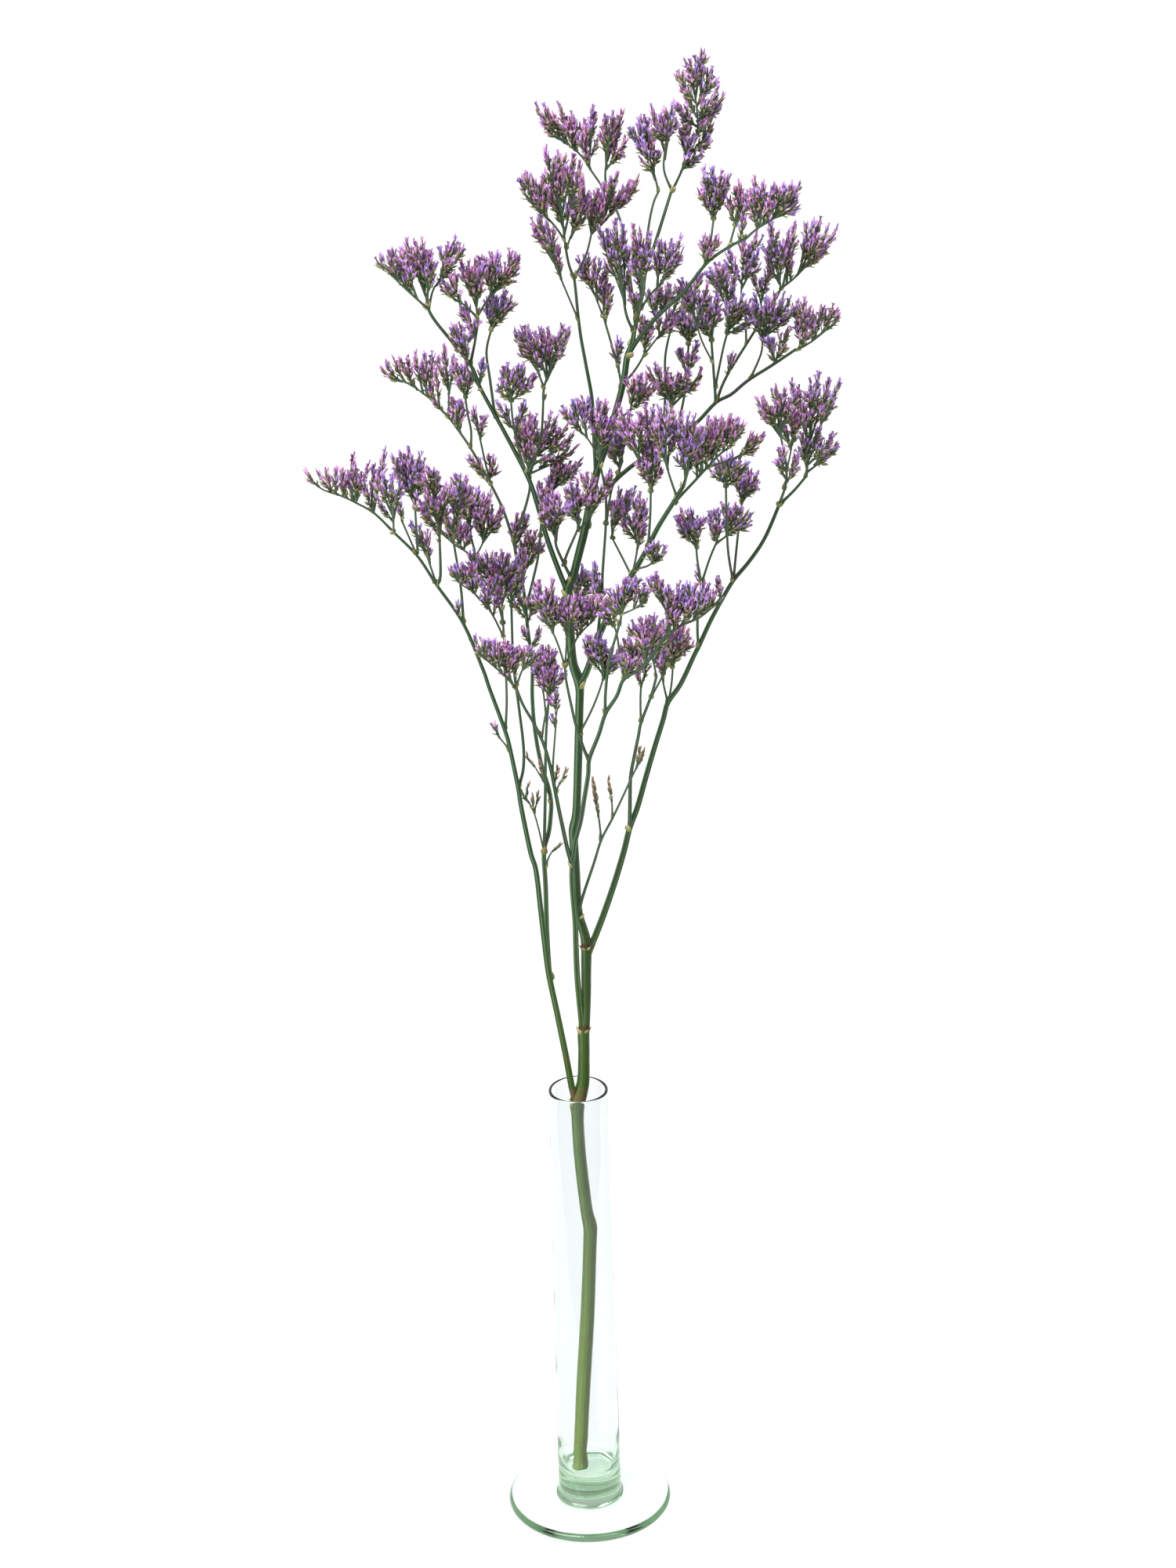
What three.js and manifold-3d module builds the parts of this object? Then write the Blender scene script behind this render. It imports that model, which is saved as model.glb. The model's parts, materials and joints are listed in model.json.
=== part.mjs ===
// One cut branch of statice standing in a slim glass bud vase. Millimetres, +Z up, front towards -Y.
// The origin is the middle of the underside of the vase's foot.
import * as THREE from "three";
import { mergeVertices } from "three/addons/utils/BufferGeometryUtils.js";
import Module from "manifold-3d";

const wasm = await Module();
wasm.setup();

// The vase
const RIM_HEIGHT = 212;
const RIM_RADIUS = 13.0;
const TUBE_RADIUS = 14.1;
const GLASS = 1.3;
const FLOOR_HEIGHT = 17.2;
const FLOOR_RADIUS = 9.5;
const FOOT_RADIUS = 37;
const FOOT_THICKNESS = 4.2;
const COLLAR_RADIUS = 15.2;
const COLLAR_HEIGHT = 7.5;
const VASE_SEGMENTS = 30;

// The plant
const SPIKELET_LENGTH = 11.5;
const SPIKELET_THICKNESS = 2.5;
const WIDEST_PART = 0.42;
const ROOT_DEPTH = 0.25;
const TUFT_FOOT = 3;
const TUFT_DEPTH = 9;
const CLEARANCE = 0.32;
const SHORTEST_EDGE = 0.05;
const GOLDEN_ANGLE = 2.4;

// Each place on the plant is [across, up, back]: where it is seen on the upright plane through the
// vase's middle, from a point EYE in front of it and above, and how far behind that plane it lies.
const EYE = new THREE.Vector3(0, -1434.8, 963.5);
const BACKWARD = new THREE.Vector3(0, 1, 0);
const UPWARD = new THREE.Vector3(0, 0, 1);

const glassGreen = new THREE.MeshStandardMaterial({
  color: 0xcfe6d8,
  roughness: 0.05,
  transparent: true,
  opacity: 0.45,
});
const stemGreen = new THREE.MeshStandardMaterial({ color: 0x4c6a42, roughness: 0.65 });
const flowerViolet = new THREE.MeshStandardMaterial({ color: 0x8a5bb5, roughness: 0.8 });

function seen(across, up, back) {
  const onPlane = new THREE.Vector3(across, 0, up);
  return onPlane.sub(EYE).multiplyScalar(1 - back / EYE.y).add(EYE);
}

// A closed solid from a lathe geometry: shared corners merged, and the flat triangles at the ends left out.
function solid(geometry) {
  geometry.deleteAttribute("normal");
  geometry.deleteAttribute("uv");
  const merged = mergeVertices(geometry, 1e-4);
  const corners = merged.index.array;
  const triangles = [];
  for (let i = 0; i < corners.length; i += 3) {
    const [a, b, c] = corners.slice(i, i + 3);
    if (a !== b && b !== c && c !== a) triangles.push(a, b, c);
  }
  const vertProperties = merged.attributes.position.array;
  const triVerts = Uint32Array.from(triangles);
  return new wasm.Manifold(new wasm.Mesh({ numProp: 3, vertProperties, triVerts, tolerance: SHORTEST_EDGE }));
}

// A round shoot that tapers: turned on a lathe with one ring for each place, then laid along the places.
function shoot(places, thick, sides) {
  const last = places.length - 1;
  const rings = places.map((_, i) => new THREE.Vector2(thick[i] / 2, i));
  const profile = [new THREE.Vector2(0, 0), ...rings, new THREE.Vector2(0, last)];
  const geometry = new THREE.LatheGeometry(profile, sides);
  const position = geometry.attributes.position;
  const corner = new THREE.Vector3();
  for (let i = 0; i < position.count; i++) {
    corner.fromBufferAttribute(position, i);
    const ring = Math.round(corner.y);
    const [before, after] = [places[Math.max(ring - 1, 0)], places[Math.min(ring + 1, last)]];
    const along = new THREE.Vector3().subVectors(after, before).normalize();
    const side = new THREE.Vector3().crossVectors(along, BACKWARD).normalize();
    const front = new THREE.Vector3().crossVectors(side, along);
    const at = places[ring].clone().addScaledVector(side, corner.x).addScaledVector(front, corner.z);
    position.setXYZ(i, at.x, at.y, at.z);
  }
  return solid(geometry);
}

// Numbers that are missing in a list are worked out from the nearest given ones, by length along the path.
function fillIn(values, marks) {
  return values.map((value, i) => {
    if (value !== undefined) return value;
    let before = i;
    let after = i;
    while (values[before] === undefined) before--;
    while (values[after] === undefined) after++;
    const share = (marks[i] - marks[before]) / (marks[after] - marks[before]);
    return values[before] + share * (values[after] - values[before]);
  });
}

// The place on the stems grown so far that is nearest to the one asked for: how far back it lies, and the
// stretch of stem below it.
function rootOn(grown, across, up) {
  let best = { distance: Infinity, back: 0 };
  for (const { seenAt, points } of grown) {
    for (let i = 0; i + 1 < seenAt.length; i++) {
      const [a, b] = [seenAt[i], seenAt[i + 1]];
      const run = [b[0] - a[0], b[1] - a[1]];
      const share = ((across - a[0]) * run[0] + (up - a[1]) * run[1]) / (run[0] ** 2 + run[1] ** 2);
      const held = Math.min(Math.max(share, 0), 1);
      const distance = Math.hypot(a[0] + held * run[0] - across, a[1] + held * run[1] - up);
      if (distance < best.distance) {
        const at = points[i].clone().lerp(points[i + 1], held);
        best = { distance, back: a[2] + held * (b[2] - a[2]), at, below: points[i] };
      }
    }
  }
  return best;
}

// One stem: thick holds a diameter for each place, or only for the first and the last.
function stem(thick, places) {
  return { thick, places };
}

// One tuft: spikelets that stand on the place at and end at the tips, spread out in depth.
function tuft(at, tips) {
  return { at, tips };
}

function layStem({ thick, places }, grown) {
  const marks = [0];
  for (let i = 1; i < places.length; i++) {
    marks.push(marks[i - 1] + Math.hypot(places[i][0] - places[i - 1][0], places[i][1] - places[i - 1][1]));
  }
  const backs = places.map((place) => place[2]);
  const [firstAcross, firstUp] = places[0];
  backs[0] ??= rootOn(grown, firstAcross, firstUp).back;
  backs[places.length - 1] ??= backs[0];
  const filledBacks = fillIn(backs, marks);
  const girths = places.map((_, i) => (thick.length === places.length ? thick[i] : undefined));
  girths[0] ??= thick[0];
  girths[places.length - 1] ??= thick[thick.length - 1];
  const filledGirths = fillIn(girths, marks);
  const seenAt = places.map(([across, up], i) => [across, up, filledBacks[i]]);
  return { seenAt, girths: filledGirths, points: seenAt.map((place) => seen(...place)) };
}

function sidesFor(girth) {
  if (girth > 4) return 7;
  if (girth > 1.8) return 5;
  return girth > 1.15 ? 4 : 3;
}

// The spikelets of a tuft, each a spindle that leans out. They stand one above the other on the stem, the
// outermost lowest.
function standTuft({ at, tips }, grown) {
  const root = rootOn(grown, at[0], at[1]);
  const acrosses = tips.map(([across]) => across);
  const middle = (Math.min(...acrosses) + Math.max(...acrosses)) / 2;
  const halfWidth = (Math.max(...acrosses) - Math.min(...acrosses)) / 2;
  const depth = tips.length > 1 ? Math.min(TUFT_DEPTH, 1.5 + 0.8 * halfWidth) : 0;
  const room = Math.min(0.7 * root.at.distanceTo(root.below), TUFT_FOOT * (tips.length - 1));
  const down = new THREE.Vector3().subVectors(root.below, root.at).normalize();
  const outward = (i) => Math.abs(acrosses[i] - middle);
  const order = tips.map((_, i) => i).sort((i, j) => outward(i) - outward(j));
  return tips.map(([across, up], i) => {
    const tip = seen(across, up, root.back + depth * Math.sin(GOLDEN_ANGLE * i + at[1]));
    const share = tips.length > 1 ? order.indexOf(i) / (tips.length - 1) : 0;
    const start = root.at.clone().addScaledVector(down, room * share);
    const reach = tip.distanceTo(start);
    const course = new THREE.Vector3().subVectors(tip, start).normalize();
    start.addScaledVector(course, -ROOT_DEPTH);
    const lean = course.multiplyScalar(0.75).addScaledVector(UPWARD, 0.35).normalize();
    const length = Math.min(SPIKELET_LENGTH, 0.92 * reach);
    const widest = tip.clone().addScaledVector(lean, -length * (1 - WIDEST_PART));
    return shoot([start, widest, tip], [0, SPIKELET_THICKNESS, 0], 3);
  });
}

const statice = new THREE.Group();
const plant = {};

function addMesh(name, manifold, material) {
  const { vertProperties, triVerts, numProp } = manifold.getMesh();
  const geometry = new THREE.BufferGeometry();
  const positions = new Float32Array((vertProperties.length / numProp) * 3);
  for (let i = 0; i * 3 < positions.length; i++) {
    positions.set(vertProperties.slice(i * numProp, i * numProp + 3), i * 3);
  }
  geometry.setAttribute("position", new THREE.BufferAttribute(positions, 3));
  geometry.setIndex(Array.from(triVerts));
  const mesh = new THREE.Mesh(geometry, material);
  mesh.name = name;
  statice.add(mesh);
}

// Grows one piece of the plant on another. It is cut back to a small clearance round what carries it.
function grow(name, parent, material, { stems = [], tufts = [] }) {
  const grown = [...(plant[parent]?.stems ?? [])];
  const own = [];
  const solids = [];
  for (const entry of stems) {
    const laid = layStem(entry, own.length ? own : grown);
    own.push(laid);
    solids.push(shoot(laid.points, laid.girths, sidesFor(laid.girths[0])));
  }
  for (const entry of tufts) {
    solids.push(...standTuft(entry, own.length ? own : grown));
  }
  let whole = wasm.Manifold.union(solids);
  if (parent) {
    const shells = plant[parent].stems.map(({ points, girths }) => {
      const wider = girths.map((girth) => girth + 2 * CLEARANCE);
      return shoot(points, wider, sidesFor(girths[0]));
    });
    const kept = whole.subtract(wasm.Manifold.union(shells)).decompose();
    kept.sort((a, b) => b.volume() - a.volume());
    whole = kept[0];
  }
  plant[name] = { stems: own };
  addMesh(name, whole, material);
}

// The vase: a straight tube with a rounded rim on a thick solid bottom and a round foot
const innerRim = RIM_RADIUS - GLASS;
const innerTube = TUBE_RADIUS - GLASS;
const vaseOutline = [
  [0, 0],
  [FOOT_RADIUS - 1.6, 0],
  [FOOT_RADIUS - 0.4, 0.8],
  [FOOT_RADIUS, FOOT_THICKNESS / 2],
  [FOOT_RADIUS - 0.5, FOOT_THICKNESS - 0.8],
  [FOOT_RADIUS - 2, FOOT_THICKNESS],
  [COLLAR_RADIUS + 3, FOOT_THICKNESS + 0.3],
  [COLLAR_RADIUS, FOOT_THICKNESS + 1.2],
  [COLLAR_RADIUS - 0.2, COLLAR_HEIGHT - 1],
  [TUBE_RADIUS, COLLAR_HEIGHT],
  [TUBE_RADIUS + 0.1, 40],
  [(TUBE_RADIUS + RIM_RADIUS) / 2, 130],
  [RIM_RADIUS, RIM_HEIGHT - GLASS / 2],
  [RIM_RADIUS - GLASS / 2, RIM_HEIGHT],
  [innerRim, RIM_HEIGHT - GLASS / 2],
  [(innerRim + innerTube) / 2, 130],
  [innerTube, 40],
  [innerTube - 0.6, FLOOR_HEIGHT + 5],
  [FLOOR_RADIUS, FLOOR_HEIGHT + 0.8],
  [FLOOR_RADIUS - 2.5, FLOOR_HEIGHT],
  [0, FLOOR_HEIGHT],
];
const vaseCurve = vaseOutline.map(([radius, height]) => new THREE.Vector2(radius, height));
const upright = new THREE.LatheGeometry(vaseCurve, VASE_SEGMENTS).rotateX(Math.PI / 2);
addMesh("bud_vase", solid(upright), glassGreen);

grow("main_stem", null, stemGreen, {
  stems: [
    stem(
      [6.2, 6.2, 6.4, 6.3, 6.1, 6.4, 5.6, 5.5, 5.5, 5.8, 7, 6.4, 5.4, 5, 5.2, 4.2, 4.2, 4.4, 4.6, 4.2,
        3.9, 3.8, 3.8, 3.8, 4, 3.5, 3.4, 3.5, 3.5, 3.6, 4.4, 3.8, 3.7, 4.2, 3.5, 3.4, 3.4, 3.2, 2.9, 2.6,
        2.6, 2.2],
      [[-4.2, 16.75, -1.5], [-3.5, 30], [-1.6, 60], [1.4, 100], [3.3, 134], [3.6, 143], [2.1, 152],
        [0, 178], [-0.6, 194], [-0.6, 200], [-0.6, 204.5, 7.7], [0.9, 209.5], [2.4, 216, 8.3], [3, 230],
        [3.1, 240, 8.6], [4, 245], [4.7, 258], [5, 270], [5.3, 279], [4.8, 286], [2.6, 295], [1.9, 303],
        [1.6, 318], [1.2, 330], [1.2, 336], [2.4, 342], [3.1, 350], [4.2, 370], [5.2, 391], [5.6, 399],
        [5.2, 404, 4], [3, 412], [2.3, 425], [1.8, 444.6], [4, 449.5], [7.4, 462], [9.7, 471],
        [14.7, 493.5], [19, 506], [26.2, 530.5], [28.5, 543.3], [30.8, 548.5, 0]],
    ),
  ],
});

grow("left_branch", "main_stem", stemGreen, {
  stems: [
    stem([3, 1.1], [[-1, 205], [-2.6, 212], [-4.7, 227], [-7.7, 246.5], [-10.8, 265.5], [-12, 276],
      [-13.5, 295], [-15.2, 317], [-17.3, 326], [-20.6, 347], [-21.6, 356], [-24.3, 373], [-26.2, 382],
      [-32, 401], [-34.7, 410.5], [-42.1, 431], [-52.3, 448], [-59.8, 461], [-69, 471.5, -26]]),
    stem([1, 0.9], [[-26.1, 383], [-25.1, 397], [-25.2, 418], [-25.7, 437, 0]]),
    stem([1.3, 1], [[-21.5, 356.5], [-19.3, 364], [-18.8, 375], [-20.2, 393], [-21.8, 412],
      [-21.8, 438, 12]]),
    stem([0.8, 0.7], [[-24.4, 373.2], [-28.7, 379, -12]]),
    stem([1.2, 0.9], [[-42, 431], [-42.4, 446], [-44.8, 468, -6]]),
    stem([1.3, 1], [[-52.3, 448], [-50.6, 452], [-50.3, 467, -28]]),
    stem([0.9, 0.8], [[-52.6, 449], [-56.3, 463, -12]]),
    stem([1, 0.9], [[-59.6, 462], [-59.8, 481, -8]]),
    stem([0.8, 0.8], [[-60.6, 463], [-65.3, 476, -32]]),
    stem([0.9, 0.8], [[-69, 471.5], [-68.8, 482, -46]]),
    stem([1, 0.7], [[-21.8, 437.5], [-21.5, 446, 15]]),
  ],
  tufts: [
    tuft([-28.7, 379], [[-30.8, 386]]),
    tuft([-56.3, 463], [[-61.7, 476.5], [-58.5, 474], [-55.3, 472]]),
    tuft([-65.3, 476], [[-66, 484.5]]),
    tuft([-43.4, 433.5], [[-44, 441]]),
    tuft([-37.5, 418], [[-37.4, 425.5]]),
    tuft([-68.8, 481], [[-74.8, 496], [-72.3, 497], [-68.8, 496.5], [-65.5, 493.5], [-75.5, 488]]),
    tuft([-21.5, 445], [[-24.5, 455.5], [-17.5, 455], [-21, 457], [-15, 460]]),
    tuft([-21.8, 440], [[-16, 450.5], [-24.5, 449.5]]),
  ],
});

grow("left_end_head", "left_branch", flowerViolet, {
  stems: [
    stem([1.1, 0.6], [[-69, 471.5], [-76.6, 480], [-84, 484.8], [-90, 488], [-96.5, 490.5],
      [-100.5, 493.5, -32]]),
  ],
  tufts: [
    tuft([-98.5, 492], [[-103.7, 500]]),
    tuft([-93, 489.5], [[-98.7, 498.5], [-95.5, 500.5], [-91.5, 500]]),
    tuft([-89, 487.5], [[-88.5, 500], [-84.3, 505.5], [-89.5, 497]]),
    tuft([-84, 485], [[-86.7, 498], [-83.5, 502], [-78.2, 501.5], [-81.5, 497]]),
    tuft([-77.5, 481.5], [[-80.3, 495], [-76, 501], [-71.2, 507.3], [-73.5, 500]]),
  ],
});

grow("left_tall_head", "left_branch", flowerViolet, {
  stems: [stem([0.9, 0.8], [[-59.8, 481], [-60.6, 488.5, -6]])],
  tufts: [
    tuft([-60.6, 488], [[-68.3, 505.3], [-65, 507], [-61.5, 507.5], [-57, 505.5], [-55.5, 502],
      [-66.5, 499.5]]),
  ],
});

grow("left_inner_head", "left_branch", flowerViolet, {
  stems: [
    stem([1, 0.8], [[-50.3, 467], [-50.2, 474, -30]]),
    stem([0.8, 0.7], [[-50.3, 470], [-51.3, 481], [-52, 487, -25]]),
  ],
  tufts: [
    tuft([-50.2, 473.5], [[-59, 488], [-55.5, 490], [-48.3, 489], [-46.6, 492.5], [-57, 482]]),
    tuft([-52, 486.5], [[-57.5, 496.5], [-53.5, 499], [-50, 497.5]]),
  ],
});

grow("left_rising_head", "left_branch", flowerViolet, {
  stems: [stem([0.9, 0.7], [[-44.8, 467.5], [-44.4, 474], [-43, 481, -4]])],
  tufts: [
    tuft([-43.2, 480], [[-44.8, 493], [-41, 495.5], [-38.5, 495], [-36.5, 489.5]]),
    tuft([-44.6, 471], [[-48.5, 481], [-41.5, 484]]),
  ],
});

grow("low_left_fan", "left_branch", flowerViolet, {
  stems: [
    stem([0.9, 0.7], [[-25.7, 436.5], [-25.6, 445.7, 2]]),
    stem([0.8, 0.6], [[-25.6, 444], [-31.5, 450], [-36.5, 453.8, -6]]),
  ],
  tufts: [
    tuft([-36, 453], [[-41.3, 457.5], [-38.5, 461.5]]),
    tuft([-31, 449.5], [[-35, 461], [-31.5, 462.5]]),
    tuft([-25.6, 445], [[-30, 457], [-27.5, 461], [-24.8, 462], [-22.4, 460.5], [-19.5, 458.5]]),
  ],
});

grow("low_left_comb", "left_branch", flowerViolet, {
  stems: [
    stem([0.9, 0.8], [[-25.4, 424], [-28.7, 432], [-31.6, 438, -14]]),
    stem([0.8, 0.6], [[-31.6, 437], [-36.5, 443.5], [-41.5, 447.5], [-44.3, 450, -20]]),
  ],
  tufts: [
    tuft([-43, 449], [[-46.3, 456], [-42, 457]]),
    tuft([-37.5, 444.5], [[-41, 454.5], [-37.5, 456.5], [-35, 452]]),
    tuft([-31.6, 437.5], [[-33.5, 449], [-30, 450.5], [-27, 446]]),
  ],
});

grow("second_left_branch", "left_branch", stemGreen, {
  stems: [
    stem([2.2, 1], [[-10.8, 265.5], [-11.2, 274], [-11.5, 290], [-11.4, 310], [-11.6, 326], [-9.3, 335],
      [-8.2, 343.5], [-7.9, 349], [-9, 356.5], [-11.8, 367.6], [-13.8, 382.5], [-14.4, 397.5],
      [-14, 411.4], [-15.4, 428.3], [-16.5, 444.5], [-19.2, 460.6], [-20.1, 466.3], [-23.5, 479],
      [-28, 490], [-36, 506.5], [-44.4, 520, 56]]),
    stem([1.5, 1], [[-11.6, 325.5], [-11.2, 334], [-10.8, 342], [-10.2, 355], [-9.5, 374], [-8.6, 386],
      [-7.3, 397.5, 8]]),
    stem([0.8, 0.7], [[-11.6, 326], [-13.8, 338], [-15.8, 346.5, 14]]),
    stem([0.7, 0.6], [[-15.8, 346], [-18.7, 352, 14]]),
    stem([0.7, 0.6], [[-15.5, 344], [-13.7, 349.5, 16]]),
    stem([1, 0.6], [[-11.3, 319], [-9.6, 323.6], [-7.9, 326.5, 12]]),
    stem([0.8, 0.6], [[-7.9, 349], [-10.4, 357.5], [-14.6, 366, 16]]),
    stem([1.2, 1], [[-15.2, 439], [-12, 451], [-10.1, 459], [-8.9, 468, 26]]),
    stem([1.4, 1], [[-20.1, 466.3], [-17.2, 473], [-12.9, 487], [-12.8, 493, 24]]),
    stem([1, 0.9], [[-36, 507], [-35.6, 514], [-36.7, 521], [-37.4, 528, 42]]),
    stem([0.9, 0.8], [[-28.5, 491], [-30.5, 501], [-32.5, 513, 34]]),
    stem([1, 0.8], [[-7.3, 397], [-7.2, 400, 8]]),
    stem([0.9, 0.8], [[-37.4, 527.5], [-37.6, 531, 42]]),
    stem([1, 0.8], [[-8.9, 467.5], [-8, 477], [-6.2, 485], [-3.5, 489, 26]]),
    stem([0.9, 0.7], [[-8.8, 386], [-9.6, 398], [-11.2, 407, 12]]),
    stem([1, 0.8], [[-17.3, 448], [-15.2, 454], [-14, 460, 44]]),
  ],
  tufts: [
    tuft([-18.7, 351.5], [[-21.3, 357.5], [-17.5, 358]]),
    tuft([-15.8, 345], [[-15.9, 353.5]]),
    tuft([-13.7, 348.5], [[-13.2, 354.5]]),
    tuft([-7.9, 326], [[-4.4, 330.5]]),
    tuft([-14.6, 365.5], [[-17.8, 372]]),
    tuft([-10.8, 359], [[-12.1, 369]]),
    tuft([-15.6, 434], [[-18.5, 443], [-20.5, 440.5], [-11.5, 442.5]]),
    tuft([-15, 421], [[-17.3, 428.5], [-10.3, 428]]),
    tuft([-32.5, 512.5], [[-34.2, 524], [-31, 520]]),
    tuft([-29, 492.5], [[-37, 504.5], [-26.8, 503]]),
    tuft([-19.8, 464], [[-18.4, 478], [-13.4, 477.7]]),
    tuft([-7.2, 399], [[-11.2, 406], [-7.3, 409.8], [-4.2, 411], [-1.9, 408.4], [-9.2, 409]]),
    tuft([-37.5, 530], [[-41, 543.5], [-37.3, 542.5], [-34, 540], [-40, 536]]),
    tuft([-3.8, 488], [[-3.2, 498], [0.8, 500.5], [4.5, 500], [8.9, 501]]),
    tuft([-7.4, 479], [[-8.8, 491], [-5, 492]]),
    tuft([-11.2, 406.3], [[-12.3, 415.5], [-9.3, 419.5], [-7, 419.5], [-4.3, 418]]),
    tuft([-14, 459.5], [[-17.3, 467], [-14.5, 470], [-11, 470.5], [-9, 466]]),
    tuft([-15.2, 454], [[-11, 463.5], [-17.5, 462.5]]),
    tuft([-41, 515.5], [[-38.8, 526.5], [-42.5, 528.5]]),
  ],
});

grow("second_left_end_comb", "second_left_branch", flowerViolet, {
  stems: [
    stem([1, 0.6], [[-44.4, 520], [-52.5, 528.7], [-60, 534.5], [-65.8, 537, 60]]),
    stem([0.8, 0.7], [[-44.6, 520.5], [-44.2, 528], [-44, 534, 54]]),
  ],
  tufts: [
    tuft([-64, 536], [[-71.3, 542.5], [-69, 545], [-65.8, 546]]),
    tuft([-59, 533.5], [[-63.3, 546], [-60, 546.5], [-57, 548]]),
    tuft([-53, 529], [[-54.3, 544.5], [-53, 547.5], [-50, 547.5]]),
    tuft([-50, 526], [[-49, 541], [-51.5, 537], [-52.5, 533]]),
    tuft([-44, 533.5], [[-48, 546], [-45.3, 551], [-41.3, 546.5]]),
  ],
});

grow("upper_round_head", "second_left_branch", flowerViolet, {
  stems: [stem([1, 0.9], [[-12.8, 492.6], [-12.2, 502, 22]])],
  tufts: [
    tuft([-12.5, 500], [[-17, 518], [-14, 519], [-11.5, 521], [-9.5, 519.5], [-16.5, 511]]),
    tuft([-12, 500.5], [[-3, 521.5], [-0.5, 519.5], [4, 516], [6.3, 513], [7.5, 507]]),
  ],
});

grow("front_right_branch", "main_stem", stemGreen, {
  stems: [
    stem([2.7, 1.3], [[2.6, 240.5], [1.8, 252], [1, 266], [0.8, 280], [0.8, 292, -1], [0.3, 302],
      [-0.1, 312], [0.3, 320, -5], [2, 331], [4.3, 339.5], [6.1, 349.5], [8.1, 361], [8.8, 368.2],
      [13, 379], [16.1, 388.5], [21, 396.3], [24.3, 404], [32.6, 409.5], [40.3, 420.5, -50]]),
    stem([1.4, 1], [[8.7, 368], [6.9, 372], [3.5, 384], [2, 392], [0, 404], [-0.3, 410.6, -34]]),
    stem([1.3, 1], [[16.1, 388.5], [16.2, 396], [17.2, 406], [18.5, 414], [21.5, 424], [23, 429, -48]]),
    stem([1, 0.8], [[24.2, 403.8], [22.9, 412], [21.8, 423], [20.5, 428, -32]]),
    stem([0.8, 0.7], [[20.6, 427.5], [19, 430, -34]]),
    stem([0.8, 0.7], [[25, 404.5], [28.5, 411, -32]]),
    stem([0.9, 0.7], [[33.5, 411], [33, 416, -46]]),
  ],
  tufts: [
    tuft([19.8, 428.5], [[14.5, 438], [17, 440], [15, 433.5], [21.5, 438.5]]),
    tuft([28, 410.5], [[24.3, 421.5], [27, 422.5], [30.3, 421.5], [32.8, 419]]),
    tuft([25, 404.5], [[23.8, 415.5], [26.5, 414.5]]),
    tuft([33, 415.5], [[28.5, 429], [31.3, 431], [35, 432], [37.6, 432.5], [33, 426]]),
  ],
});

grow("front_left_branch", "front_right_branch", stemGreen, {
  stems: [
    stem([1.9, 1.1], [[0.3, 319.5], [-1.4, 326], [-3.6, 338.6], [-5.6, 351], [-7.8, 365.3], [-10.2, 375.3],
      [-13.8, 384.6], [-18.3, 393.5], [-21, 401.6, -34]]),
    stem([0.9, 0.8], [[-11, 378.5], [-9.3, 388], [-7.6, 394, -14]]),
    stem([0.9, 0.7], [[-7, 360.5], [-6.4, 369], [-5, 383.5], [-4.6, 390, -24]]),
    stem([0.8, 0.7], [[-6, 353], [-4.1, 357.4, -18]]),
  ],
  tufts: [
    tuft([-4.6, 389], [[-4.4, 399.5]]),
    tuft([-5, 383], [[-6.2, 389]]),
    tuft([-4.1, 357], [[-1, 365]]),
    tuft([-6.6, 357], [[-4.6, 366]]),
  ],
});

grow("front_left_comb", "front_left_branch", flowerViolet, {
  stems: [
    stem([1, 0.7], [[-21, 401], [-25.6, 407], [-32.7, 414], [-36, 417, -44]]),
    stem([1, 0.7], [[-20.9, 401.8], [-21.5, 409, -36]]),
    stem([0.9, 0.7], [[-20.9, 402], [-18, 409.5], [-13.5, 413.5, -42]]),
  ],
  tufts: [
    tuft([-33.5, 414.5], [[-37.3, 421], [-34.3, 423.5]]),
    tuft([-29, 410.5], [[-32.3, 422.5], [-29.5, 423]]),
    tuft([-25.6, 406.5], [[-27.5, 422], [-25, 423], [-23.3, 419.5]]),
    tuft([-21.5, 408], [[-21.8, 420], [-19.5, 419.5]]),
    tuft([-17.5, 409.5], [[-17, 419], [-14.7, 419.5], [-11.4, 418]]),
  ],
});

grow("front_middle_head", "front_right_branch", flowerViolet, {
  stems: [
    stem([0.9, 0.7], [[-0.3, 410], [-2.3, 418], [-4.7, 425], [-9.5, 435, -40]]),
    stem([0.9, 0.7], [[-0.3, 410], [0.5, 420], [1, 428, -36]]),
    stem([0.9, 0.7], [[-0.2, 410.4], [4.5, 422], [8.4, 427], [12.8, 431, -30]]),
  ],
  tufts: [
    tuft([-9, 434], [[-11.8, 445], [-10, 448.3], [-7, 445.5]]),
    tuft([-5, 426], [[-4.7, 449.5], [-3.5, 441.5], [-9, 441]]),
    tuft([1, 427.5], [[-1.2, 440.5], [1.8, 441.5], [4.5, 441.5], [0, 434.5]]),
    tuft([7, 425.5], [[7, 442.5], [9, 440.5], [5, 434.5]]),
    tuft([12, 430.5], [[11.5, 441.5], [14.2, 441.5], [9.5, 436.5]]),
  ],
});

grow("olive_head", "front_right_branch", flowerViolet, {
  stems: [
    stem([1, 0.8], [[23, 428], [23.6, 432.5], [24.5, 437, -50]]),
    stem([0.8, 0.6], [[23.7, 432.8], [28, 434.5], [32, 436.5, -56]]),
  ],
  tufts: [
    tuft([24.4, 436.5], [[22.3, 446], [25.3, 447.5], [27.6, 448], [30, 449]]),
    tuft([31.5, 436.2], [[35, 441.5], [33.5, 446], [29.5, 442]]),
    tuft([23.7, 433], [[19.4, 440], [18.4, 436], [20.5, 443.5]]),
  ],
});

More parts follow.
